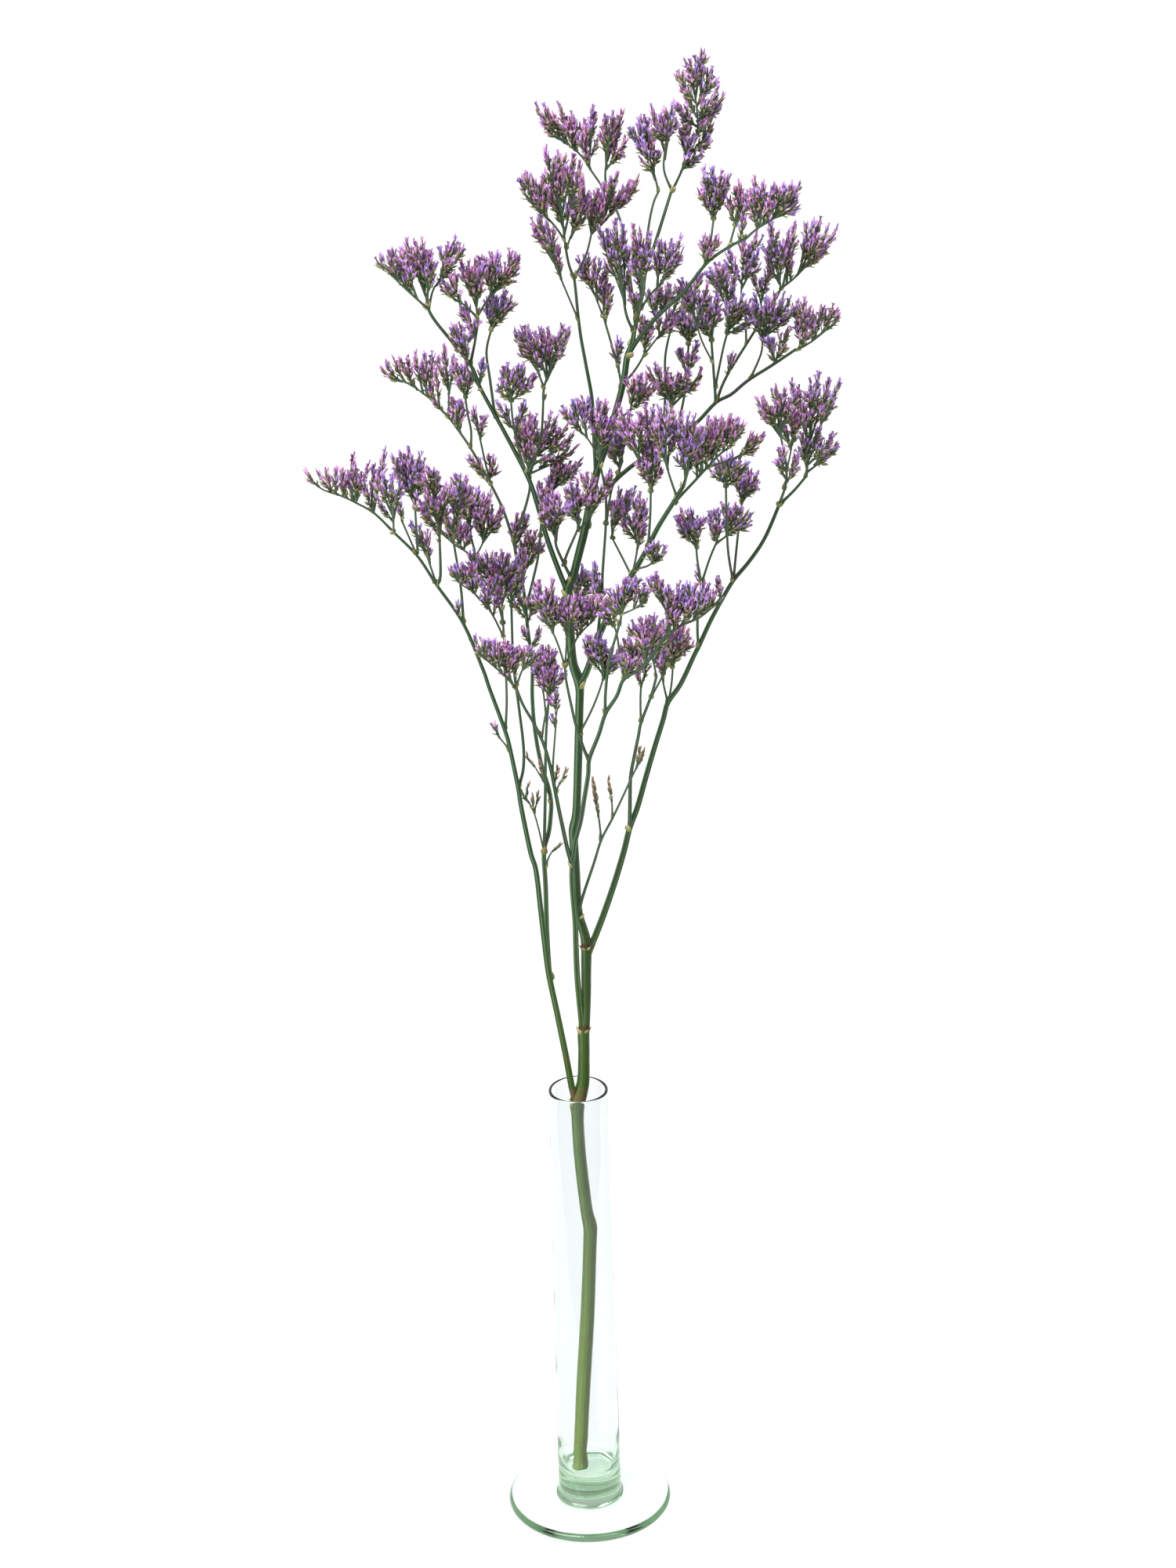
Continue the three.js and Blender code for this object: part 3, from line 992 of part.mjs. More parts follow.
grow("low_fork_head", "main_stem", flowerViolet, {
  stems: [stem([1, 0.8], [[5, 380], [10.8, 391.5], [15.2, 403.5], [15.6, 409.5, -16]])],
  tufts: [
    tuft([15.5, 409], [[7.4, 422], [10.5, 424], [14.2, 425], [16.5, 421.5]]),
    tuft([15.2, 404], [[19.5, 417.5], [22.3, 416.3]]),
  ],
});

grow("fork_side_head", "main_stem", flowerViolet, {
  stems: [stem([0.9, 0.7], [[2.4, 433], [5, 438.5], [6.8, 443, 11]])],
  tufts: [tuft([6.7, 442.6], [[5.6, 449.5], [8, 454.5], [12, 452.5], [14, 448.5]])],
});

grow("upper_side_head", "main_stem", flowerViolet, {
  stems: [stem([0.9, 0.7], [[21.6, 514], [27, 519], [32.5, 524.5, -6]])],
  tufts: [tuft([32, 524], [[30.5, 535], [34, 536], [36.5, 534], [39, 531]])],
});

grow("upper_inner_twig", "main_stem", flowerViolet, {
  stems: [
    stem([1, 0.8], [[26.6, 532], [31, 537], [35, 543.5], [36, 549, 14]]),
    stem([0.8, 0.7], [[35, 543.5], [39.7, 549.5], [43, 553.5, 18]]),
  ],
  tufts: [
    tuft([36, 548.5], [[33.5, 556.5], [36, 559.5], [38.8, 558.5]]),
    tuft([42.8, 553.2], [[41, 561.5], [45.5, 562], [47.5, 558.5]]),
  ],
});

export default statice;
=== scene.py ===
"""The looks of one cut branch of statice in a slim glass bud vase.

Lengths are in metres, except in the plant's own table, which is in millimetres."""

import json
import math
import random

import bpy
import numpy as np
from mathutils import Matrix, Vector

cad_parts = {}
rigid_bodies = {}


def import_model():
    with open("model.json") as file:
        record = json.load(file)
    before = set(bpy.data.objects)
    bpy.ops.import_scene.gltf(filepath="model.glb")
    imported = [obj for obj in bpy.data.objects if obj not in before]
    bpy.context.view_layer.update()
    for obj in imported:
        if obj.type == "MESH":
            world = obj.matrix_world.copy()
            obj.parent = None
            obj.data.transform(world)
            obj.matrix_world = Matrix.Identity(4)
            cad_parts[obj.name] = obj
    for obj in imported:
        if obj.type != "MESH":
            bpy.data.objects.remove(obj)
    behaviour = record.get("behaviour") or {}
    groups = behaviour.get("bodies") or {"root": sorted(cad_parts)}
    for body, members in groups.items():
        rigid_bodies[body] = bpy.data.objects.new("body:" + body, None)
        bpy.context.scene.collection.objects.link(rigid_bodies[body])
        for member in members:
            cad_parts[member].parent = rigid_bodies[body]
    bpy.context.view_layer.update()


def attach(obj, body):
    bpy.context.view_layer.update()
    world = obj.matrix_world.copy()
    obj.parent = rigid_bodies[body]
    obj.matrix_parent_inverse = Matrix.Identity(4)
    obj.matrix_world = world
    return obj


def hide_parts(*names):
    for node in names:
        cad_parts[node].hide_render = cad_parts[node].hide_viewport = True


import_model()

MM = 0.001


# Node trees, written as sums

class Value:
    """A socket of a node tree. Sums on values add the nodes that work them out."""

    def __init__(self, tree, socket):
        self.tree = tree
        self.socket = socket

    def also(self, output):
        """Another output of the same node."""
        return Value(self.tree, pick(self.socket.node.outputs, output))

    def maths(self, operation, first, second):
        if is_number(first) and is_number(second):
            return add(self.tree, "ShaderNodeMath", {"operation": operation}, {0: first, 1: second})
        if operation == "MULTIPLY" and (is_number(first) or is_number(second)):
            vector, number = (second, first) if is_number(first) else (first, second)
            return add(self.tree, "ShaderNodeVectorMath", {"operation": "SCALE"}, {0: vector, 3: number})
        return add(self.tree, "ShaderNodeVectorMath", {"operation": operation}, {0: first, 1: second})

    def __add__(self, other):
        return self.maths("ADD", self, other)

    def __radd__(self, other):
        return self.maths("ADD", other, self)

    def __sub__(self, other):
        return self.maths("SUBTRACT", self, other)

    def __rsub__(self, other):
        return self.maths("SUBTRACT", other, self)

    def __mul__(self, other):
        return self.maths("MULTIPLY", self, other)

    def __rmul__(self, other):
        return self.maths("MULTIPLY", other, self)

    def __gt__(self, other):
        return self.maths("GREATER_THAN", self, other)

    def sine(self):
        return add(self.tree, "ShaderNodeMath", {"operation": "SINE"}, {0: self})

    def cosine(self):
        return add(self.tree, "ShaderNodeMath", {"operation": "COSINE"}, {0: self})

    def least(self, other):
        return self.maths("MINIMUM", self, other)

    def power(self, exponent):
        return self.maths("POWER", self, exponent)

    def between(self, low, high, start=0.0, end=1.0):
        """Moves smoothly from start, at low or less, to end, at high or more."""
        return add(self.tree, "ShaderNodeMapRange", {"interpolation_type": "SMOOTHSTEP"},
                   {0: self, 1: low, 2: high, 3: start, 4: end})


def is_number(x):
    if isinstance(x, Value):
        return x.socket.type in ("VALUE", "INT", "BOOLEAN")
    return isinstance(x, (int, float))


def pick(sockets, key):
    if isinstance(key, int):
        return sockets[key]
    return next(socket for socket in sockets if socket.name == key and socket.enabled)


def add(tree, kind, settings=None, inputs=None, output=0):
    """One node of any kind. Its settings are set first, then the values or links of its sockets."""
    node = tree.nodes.new(kind)
    for name, value in (settings or {}).items():
        if name == "stops":
            ramp = node.color_ramp
            while len(ramp.elements) < len(value):
                ramp.elements.new(1.0)
            for element, (position, colour) in zip(ramp.elements, value):
                element.position = position
                element.color = (*colour, 1.0)
        else:
            setattr(node, name, value)
    for key, value in (inputs or {}).items():
        socket = pick(node.inputs, key)
        if isinstance(value, list):
            for each in value:
                tree.links.new(each.socket, socket)
        elif isinstance(value, Value):
            tree.links.new(value.socket, socket)
        elif socket.type == "RGBA" and len(value) == 3:
            socket.default_value = (*value, 1.0)
        else:
            socket.default_value = value
    return Value(tree, pick(node.outputs, output))


def srgb(red, green, blue):
    """A colour given as it looks on a screen, from 0 to 255, as the light it gives back."""
    shares = (channel / 255 for channel in (red, green, blue))
    return tuple(x / 12.92 if x <= 0.04045 else ((x + 0.055) / 1.055) ** 2.4 for x in shares)


def mixed(factor, first, second):
    """Two colours mixed: none of the second where the factor is 0, all of it where the factor is 1."""
    tree = next(x.tree for x in (factor, first, second) if isinstance(x, Value))
    return add(tree, "ShaderNodeMix", {"data_type": "RGBA"}, {0: factor, 6: first, 7: second}, output=2)


def attribute(tree, name):
    return add(tree, "ShaderNodeAttribute", {"attribute_name": name}, output="Fac")


def noise(tree, scale, detail=2.0):
    where = add(tree, "ShaderNodeTexCoord", output="Object")
    return add(tree, "ShaderNodeTexNoise", {}, {"Vector": where, "Scale": scale, "Detail": detail}, "Fac")


def finish_of(name, paint, roughness, bump=None, bump_depth=0.0001, **constant):
    """A Principled material. Nodes may work out its colour, roughness and bump. The rest is constant."""
    material = bpy.data.materials.new(name)
    material.use_nodes = True
    tree = material.node_tree
    shader = tree.nodes["Principled BSDF"]
    for socket, value in constant.items():
        shader.inputs[socket.replace("_", " ")].default_value = value
    for socket, value in (("Base Color", paint), ("Roughness", roughness)):
        worked = value(tree) if callable(value) else value
        if isinstance(worked, Value):
            tree.links.new(worked.socket, shader.inputs[socket])
        elif socket == "Base Color":
            shader.inputs[socket].default_value = (*worked, 1.0)
        else:
            shader.inputs[socket].default_value = worked
    if bump:
        depth = {"Strength": 1.0, "Distance": bump_depth, "Height": bump(tree)}
        normal = add(tree, "ShaderNodeBump", {}, depth)
        tree.links.new(normal.socket, shader.inputs["Normal"])
    return material


# The camera, at the photograph's viewing angle

EYE = Vector((0.0, -1434.8, 963.5))
DOWN = math.radians(22.92)
TO_THE_RIGHT = math.radians(0.317)
TILT = -0.0273
FOCAL_LENGTH = 84.56
SENSOR_WIDTH = 36


def set_camera():
    level = math.cos(DOWN)
    forward = Vector((math.sin(TO_THE_RIGHT) * level, math.cos(TO_THE_RIGHT) * level, -math.sin(DOWN)))
    right = forward.cross(Vector((0, 0, 1))).normalized()
    up = right.cross(forward)
    across = right * math.cos(TILT) + up * math.sin(TILT)
    upward = up * math.cos(TILT) - right * math.sin(TILT)
    turned = Matrix((across, upward, -forward)).transposed()
    data = bpy.data.cameras.new("camera")
    data.lens = FOCAL_LENGTH
    data.sensor_width = SENSOR_WIDTH
    data.clip_end = 50
    camera = bpy.data.objects.new("camera", data)
    camera.matrix_world = Matrix.Translation(EYE * MM) @ turned.to_4x4()
    bpy.context.scene.collection.objects.link(camera)
    bpy.context.scene.camera = camera


set_camera()


# The plant's table. Each place is (across, up, back): where it is seen on the upright plane through the
# vase's middle, from the camera's place, and how far behind that plane it lies.

plant = {}


def grow(name, parent, stems, tufts=()):
    plant[name] = (parent, stems, tufts)


grow("main_stem", None, stems=[
    ([6.2, 6.2, 6.4, 6.3, 6.1, 6.4, 5.6, 5.5, 5.5, 5.8, 7, 6.4, 5.4, 5, 5.2, 4.2, 4.2, 4.4, 4.6, 4.2, 3.9,
      3.8, 3.8, 3.8, 4, 3.5, 3.4, 3.5, 3.5, 3.6, 4.4, 3.8, 3.7, 4.2, 3.5, 3.4, 3.4, 3.2, 2.9, 2.6, 2.6,
      2.2],
     [(-4.2, 16.75, -1.5), (-3.5, 30), (-1.6, 60), (1.4, 100), (3.3, 134), (3.6, 143), (2.1, 152),
      (0, 178), (-0.6, 194), (-0.6, 200), (-0.6, 204.5, 7.7), (0.9, 209.5), (2.4, 216, 8.3), (3, 230),
      (3.1, 240, 8.6), (4, 245), (4.7, 258), (5, 270), (5.3, 279), (4.8, 286), (2.6, 295), (1.9, 303),
      (1.6, 318), (1.2, 330), (1.2, 336), (2.4, 342), (3.1, 350), (4.2, 370), (5.2, 391), (5.6, 399),
      (5.2, 404, 4), (3, 412), (2.3, 425), (1.8, 444.6), (4, 449.5), (7.4, 462), (9.7, 471),
      (14.7, 493.5), (19, 506), (26.2, 530.5), (28.5, 543.3), (30.8, 548.5, 0)]),
])
grow("left_branch", "main_stem", stems=[
    ([3, 1.1], [(-1, 205), (-2.6, 212), (-4.7, 227), (-7.7, 246.5), (-10.8, 265.5), (-12, 276),
      (-13.5, 295), (-15.2, 317), (-17.3, 326), (-20.6, 347), (-21.6, 356), (-24.3, 373), (-26.2, 382),
      (-32, 401), (-34.7, 410.5), (-42.1, 431), (-52.3, 448), (-59.8, 461), (-69, 471.5, -26)]),
    ([1, 0.9], [(-26.1, 383), (-25.1, 397), (-25.2, 418), (-25.7, 437, 0)]),
    ([1.3, 1], [(-21.5, 356.5), (-19.3, 364), (-18.8, 375), (-20.2, 393), (-21.8, 412),
      (-21.8, 438, 12)]),
    ([0.8, 0.7], [(-24.4, 373.2), (-28.7, 379, -12)]),
    ([1.2, 0.9], [(-42, 431), (-42.4, 446), (-44.8, 468, -6)]),
    ([1.3, 1], [(-52.3, 448), (-50.6, 452), (-50.3, 467, -28)]),
    ([0.9, 0.8], [(-52.6, 449), (-56.3, 463, -12)]),
    ([1, 0.9], [(-59.6, 462), (-59.8, 481, -8)]),
    ([0.8, 0.8], [(-60.6, 463), (-65.3, 476, -32)]),
    ([0.9, 0.8], [(-69, 471.5), (-68.8, 482, -46)]),
    ([1, 0.7], [(-21.8, 437.5), (-21.5, 446, 15)]),
], tufts=[
    ((-28.7, 379), [(-30.8, 386)]),
    ((-56.3, 463), [(-61.7, 476.5), (-58.5, 474), (-55.3, 472)]),
    ((-65.3, 476), [(-66, 484.5)]),
    ((-43.4, 433.5), [(-44, 441)]),
    ((-37.5, 418), [(-37.4, 425.5)]),
    ((-68.8, 481), [(-74.8, 496), (-72.3, 497), (-68.8, 496.5), (-65.5, 493.5), (-75.5, 488)]),
    ((-21.5, 445), [(-24.5, 455.5), (-17.5, 455), (-21, 457), (-15, 460)]),
    ((-21.8, 440), [(-16, 450.5), (-24.5, 449.5)]),
])
grow("left_end_head", "left_branch", stems=[
    ([1.1, 0.6], [(-69, 471.5), (-76.6, 480), (-84, 484.8), (-90, 488), (-96.5, 490.5),
      (-100.5, 493.5, -32)]),
], tufts=[
    ((-98.5, 492), [(-103.7, 500)]),
    ((-93, 489.5), [(-98.7, 498.5), (-95.5, 500.5), (-91.5, 500)]),
    ((-89, 487.5), [(-88.5, 500), (-84.3, 505.5), (-89.5, 497)]),
    ((-84, 485), [(-86.7, 498), (-83.5, 502), (-78.2, 501.5), (-81.5, 497)]),
    ((-77.5, 481.5), [(-80.3, 495), (-76, 501), (-71.2, 507.3), (-73.5, 500)]),
])
grow("left_tall_head", "left_branch", stems=[
    ([0.9, 0.8], [(-59.8, 481), (-60.6, 488.5, -6)]),
], tufts=[
    ((-60.6, 488), [(-68.3, 505.3), (-65, 507), (-61.5, 507.5), (-57, 505.5), (-55.5, 502),
      (-66.5, 499.5)]),
])
grow("left_inner_head", "left_branch", stems=[
    ([1, 0.8], [(-50.3, 467), (-50.2, 474, -30)]),
    ([0.8, 0.7], [(-50.3, 470), (-51.3, 481), (-52, 487, -25)]),
], tufts=[
    ((-50.2, 473.5), [(-59, 488), (-55.5, 490), (-48.3, 489), (-46.6, 492.5), (-57, 482)]),
    ((-52, 486.5), [(-57.5, 496.5), (-53.5, 499), (-50, 497.5)]),
])
grow("left_rising_head", "left_branch", stems=[
    ([0.9, 0.7], [(-44.8, 467.5), (-44.4, 474), (-43, 481, -4)]),
], tufts=[
    ((-43.2, 480), [(-44.8, 493), (-41, 495.5), (-38.5, 495), (-36.5, 489.5)]),
    ((-44.6, 471), [(-48.5, 481), (-41.5, 484)]),
])
grow("low_left_fan", "left_branch", stems=[
    ([0.9, 0.7], [(-25.7, 436.5), (-25.6, 445.7, 2)]),
    ([0.8, 0.6], [(-25.6, 444), (-31.5, 450), (-36.5, 453.8, -6)]),
], tufts=[
    ((-36, 453), [(-41.3, 457.5), (-38.5, 461.5)]),
    ((-31, 449.5), [(-35, 461), (-31.5, 462.5)]),
    ((-25.6, 445), [(-30, 457), (-27.5, 461), (-24.8, 462), (-22.4, 460.5), (-19.5, 458.5)]),
])
grow("low_left_comb", "left_branch", stems=[
    ([0.9, 0.8], [(-25.4, 424), (-28.7, 432), (-31.6, 438, -14)]),
    ([0.8, 0.6], [(-31.6, 437), (-36.5, 443.5), (-41.5, 447.5), (-44.3, 450, -20)]),
], tufts=[
    ((-43, 449), [(-46.3, 456), (-42, 457)]),
    ((-37.5, 444.5), [(-41, 454.5), (-37.5, 456.5), (-35, 452)]),
    ((-31.6, 437.5), [(-33.5, 449), (-30, 450.5), (-27, 446)]),
])
grow("second_left_branch", "left_branch", stems=[
    ([2.2, 1], [(-10.8, 265.5), (-11.2, 274), (-11.5, 290), (-11.4, 310), (-11.6, 326), (-9.3, 335),
      (-8.2, 343.5), (-7.9, 349), (-9, 356.5), (-11.8, 367.6), (-13.8, 382.5), (-14.4, 397.5),
      (-14, 411.4), (-15.4, 428.3), (-16.5, 444.5), (-19.2, 460.6), (-20.1, 466.3), (-23.5, 479),
      (-28, 490), (-36, 506.5), (-44.4, 520, 56)]),
    ([1.5, 1], [(-11.6, 325.5), (-11.2, 334), (-10.8, 342), (-10.2, 355), (-9.5, 374), (-8.6, 386),
      (-7.3, 397.5, 8)]),
    ([0.8, 0.7], [(-11.6, 326), (-13.8, 338), (-15.8, 346.5, 14)]),
    ([0.7, 0.6], [(-15.8, 346), (-18.7, 352, 14)]),
    ([0.7, 0.6], [(-15.5, 344), (-13.7, 349.5, 16)]),
    ([1, 0.6], [(-11.3, 319), (-9.6, 323.6), (-7.9, 326.5, 12)]),
    ([0.8, 0.6], [(-7.9, 349), (-10.4, 357.5), (-14.6, 366, 16)]),
    ([1.2, 1], [(-15.2, 439), (-12, 451), (-10.1, 459), (-8.9, 468, 26)]),
    ([1.4, 1], [(-20.1, 466.3), (-17.2, 473), (-12.9, 487), (-12.8, 493, 24)]),
    ([1, 0.9], [(-36, 507), (-35.6, 514), (-36.7, 521), (-37.4, 528, 42)]),
    ([0.9, 0.8], [(-28.5, 491), (-30.5, 501), (-32.5, 513, 34)]),
    ([1, 0.8], [(-7.3, 397), (-7.2, 400, 8)]),
    ([0.9, 0.8], [(-37.4, 527.5), (-37.6, 531, 42)]),
    ([1, 0.8], [(-8.9, 467.5), (-8, 477), (-6.2, 485), (-3.5, 489, 26)]),
    ([0.9, 0.7], [(-8.8, 386), (-9.6, 398), (-11.2, 407, 12)]),
    ([1, 0.8], [(-17.3, 448), (-15.2, 454), (-14, 460, 44)]),
], tufts=[
    ((-18.7, 351.5), [(-21.3, 357.5), (-17.5, 358)]),
    ((-15.8, 345), [(-15.9, 353.5)]),
    ((-13.7, 348.5), [(-13.2, 354.5)]),
    ((-7.9, 326), [(-4.4, 330.5)]),
    ((-14.6, 365.5), [(-17.8, 372)]),
    ((-10.8, 359), [(-12.1, 369)]),
    ((-15.6, 434), [(-18.5, 443), (-20.5, 440.5), (-11.5, 442.5)]),
    ((-15, 421), [(-17.3, 428.5), (-10.3, 428)]),
    ((-32.5, 512.5), [(-34.2, 524), (-31, 520)]),
    ((-29, 492.5), [(-37, 504.5), (-26.8, 503)]),
    ((-19.8, 464), [(-18.4, 478), (-13.4, 477.7)]),
    ((-7.2, 399), [(-11.2, 406), (-7.3, 409.8), (-4.2, 411), (-1.9, 408.4), (-9.2, 409)]),
    ((-37.5, 530), [(-41, 543.5), (-37.3, 542.5), (-34, 540), (-40, 536)]),
    ((-3.8, 488), [(-3.2, 498), (0.8, 500.5), (4.5, 500), (8.9, 501)]),
    ((-7.4, 479), [(-8.8, 491), (-5, 492)]),
    ((-11.2, 406.3), [(-12.3, 415.5), (-9.3, 419.5), (-7, 419.5), (-4.3, 418)]),
    ((-14, 459.5), [(-17.3, 467), (-14.5, 470), (-11, 470.5), (-9, 466)]),
    ((-15.2, 454), [(-11, 463.5), (-17.5, 462.5)]),
    ((-41, 515.5), [(-38.8, 526.5), (-42.5, 528.5)]),
])
grow("second_left_end_comb", "second_left_branch", stems=[
    ([1, 0.6], [(-44.4, 520), (-52.5, 528.7), (-60, 534.5), (-65.8, 537, 60)]),
    ([0.8, 0.7], [(-44.6, 520.5), (-44.2, 528), (-44, 534, 54)]),
], tufts=[
    ((-64, 536), [(-71.3, 542.5), (-69, 545), (-65.8, 546)]),
    ((-59, 533.5), [(-63.3, 546), (-60, 546.5), (-57, 548)]),
    ((-53, 529), [(-54.3, 544.5), (-53, 547.5), (-50, 547.5)]),
    ((-50, 526), [(-49, 541), (-51.5, 537), (-52.5, 533)]),
    ((-44, 533.5), [(-48, 546), (-45.3, 551), (-41.3, 546.5)]),
])
grow("upper_round_head", "second_left_branch", stems=[
    ([1, 0.9], [(-12.8, 492.6), (-12.2, 502, 22)]),
], tufts=[
    ((-12.5, 500), [(-17, 518), (-14, 519), (-11.5, 521), (-9.5, 519.5), (-16.5, 511)]),
    ((-12, 500.5), [(-3, 521.5), (-0.5, 519.5), (4, 516), (6.3, 513), (7.5, 507)]),
])
grow("front_right_branch", "main_stem", stems=[
    ([2.7, 1.3], [(2.6, 240.5), (1.8, 252), (1, 266), (0.8, 280), (0.8, 292, -1), (0.3, 302), (-0.1, 312),
      (0.3, 320, -5), (2, 331), (4.3, 339.5), (6.1, 349.5), (8.1, 361), (8.8, 368.2), (13, 379),
      (16.1, 388.5), (21, 396.3), (24.3, 404), (32.6, 409.5), (40.3, 420.5, -50)]),
    ([1.4, 1], [(8.7, 368), (6.9, 372), (3.5, 384), (2, 392), (0, 404), (-0.3, 410.6, -34)]),
    ([1.3, 1], [(16.1, 388.5), (16.2, 396), (17.2, 406), (18.5, 414), (21.5, 424), (23, 429, -48)]),
    ([1, 0.8], [(24.2, 403.8), (22.9, 412), (21.8, 423), (20.5, 428, -32)]),
    ([0.8, 0.7], [(20.6, 427.5), (19, 430, -34)]),
    ([0.8, 0.7], [(25, 404.5), (28.5, 411, -32)]),
    ([0.9, 0.7], [(33.5, 411), (33, 416, -46)]),
], tufts=[
    ((19.8, 428.5), [(14.5, 438), (17, 440), (15, 433.5), (21.5, 438.5)]),
    ((28, 410.5), [(24.3, 421.5), (27, 422.5), (30.3, 421.5), (32.8, 419)]),
    ((25, 404.5), [(23.8, 415.5), (26.5, 414.5)]),
    ((33, 415.5), [(28.5, 429), (31.3, 431), (35, 432), (37.6, 432.5), (33, 426)]),
])
grow("front_left_branch", "front_right_branch", stems=[
    ([1.9, 1.1], [(0.3, 319.5), (-1.4, 326), (-3.6, 338.6), (-5.6, 351), (-7.8, 365.3), (-10.2, 375.3),
      (-13.8, 384.6), (-18.3, 393.5), (-21, 401.6, -34)]),
    ([0.9, 0.8], [(-11, 378.5), (-9.3, 388), (-7.6, 394, -14)]),
    ([0.9, 0.7], [(-7, 360.5), (-6.4, 369), (-5, 383.5), (-4.6, 390, -24)]),
    ([0.8, 0.7], [(-6, 353), (-4.1, 357.4, -18)]),
], tufts=[
    ((-4.6, 389), [(-4.4, 399.5)]),
    ((-5, 383), [(-6.2, 389)]),
    ((-4.1, 357), [(-1, 365)]),
    ((-6.6, 357), [(-4.6, 366)]),
])
grow("front_left_comb", "front_left_branch", stems=[
    ([1, 0.7], [(-21, 401), (-25.6, 407), (-32.7, 414), (-36, 417, -44)]),
    ([1, 0.7], [(-20.9, 401.8), (-21.5, 409, -36)]),
    ([0.9, 0.7], [(-20.9, 402), (-18, 409.5), (-13.5, 413.5, -42)]),
], tufts=[
    ((-33.5, 414.5), [(-37.3, 421), (-34.3, 423.5)]),
    ((-29, 410.5), [(-32.3, 422.5), (-29.5, 423)]),
    ((-25.6, 406.5), [(-27.5, 422), (-25, 423), (-23.3, 419.5)]),
    ((-21.5, 408), [(-21.8, 420), (-19.5, 419.5)]),
    ((-17.5, 409.5), [(-17, 419), (-14.7, 419.5), (-11.4, 418)]),
])
grow("front_middle_head", "front_right_branch", stems=[
    ([0.9, 0.7], [(-0.3, 410), (-2.3, 418), (-4.7, 425), (-9.5, 435, -40)]),
    ([0.9, 0.7], [(-0.3, 410), (0.5, 420), (1, 428, -36)]),
    ([0.9, 0.7], [(-0.2, 410.4), (4.5, 422), (8.4, 427), (12.8, 431, -30)]),
], tufts=[
    ((-9, 434), [(-11.8, 445), (-10, 448.3), (-7, 445.5)]),
    ((-5, 426), [(-4.7, 449.5), (-3.5, 441.5), (-9, 441)]),
    ((1, 427.5), [(-1.2, 440.5), (1.8, 441.5), (4.5, 441.5), (0, 434.5)]),
    ((7, 425.5), [(7, 442.5), (9, 440.5), (5, 434.5)]),
    ((12, 430.5), [(11.5, 441.5), (14.2, 441.5), (9.5, 436.5)]),
])
grow("olive_head", "front_right_branch", stems=[
    ([1, 0.8], [(23, 428), (23.6, 432.5), (24.5, 437, -50)]),
    ([0.8, 0.6], [(23.7, 432.8), (28, 434.5), (32, 436.5, -56)]),
], tufts=[
    ((24.4, 436.5), [(22.3, 446), (25.3, 447.5), (27.6, 448), (30, 449)]),
    ((31.5, 436.2), [(35, 441.5), (33.5, 446), (29.5, 442)]),
    ((23.7, 433), [(19.4, 440), (18.4, 436), (20.5, 443.5)]),
])
grow("front_right_comb", "front_right_branch", stems=[
    ([1.3, 0.8], [(40, 420.3), (47.3, 426.4), (52.2, 428.6), (56.6, 430.7), (63, 436, -58)]),
    ([0.8, 0.6], [(46.8, 426), (44.2, 430.5), (41, 436.3), (38, 441, -56)]),
], tufts=[
    ((38.5, 440), [(36, 448), (38.3, 450)]),
    ((41.5, 435.5), [(40.5, 446), (43.5, 444.8)]),
    ((46.5, 426), [(45, 442.5), (47.6, 446), (50, 445), (47, 438)]),
    ((51, 428.3), [(51.3, 444), (54.7, 444.5), (53, 439)]),
    ((56, 430.5), [(57.8, 445.5), (60.5, 442), (56.5, 438.5)]),
    ((61.5, 434.5), [(65, 439.5), (63, 442.5)]),
])
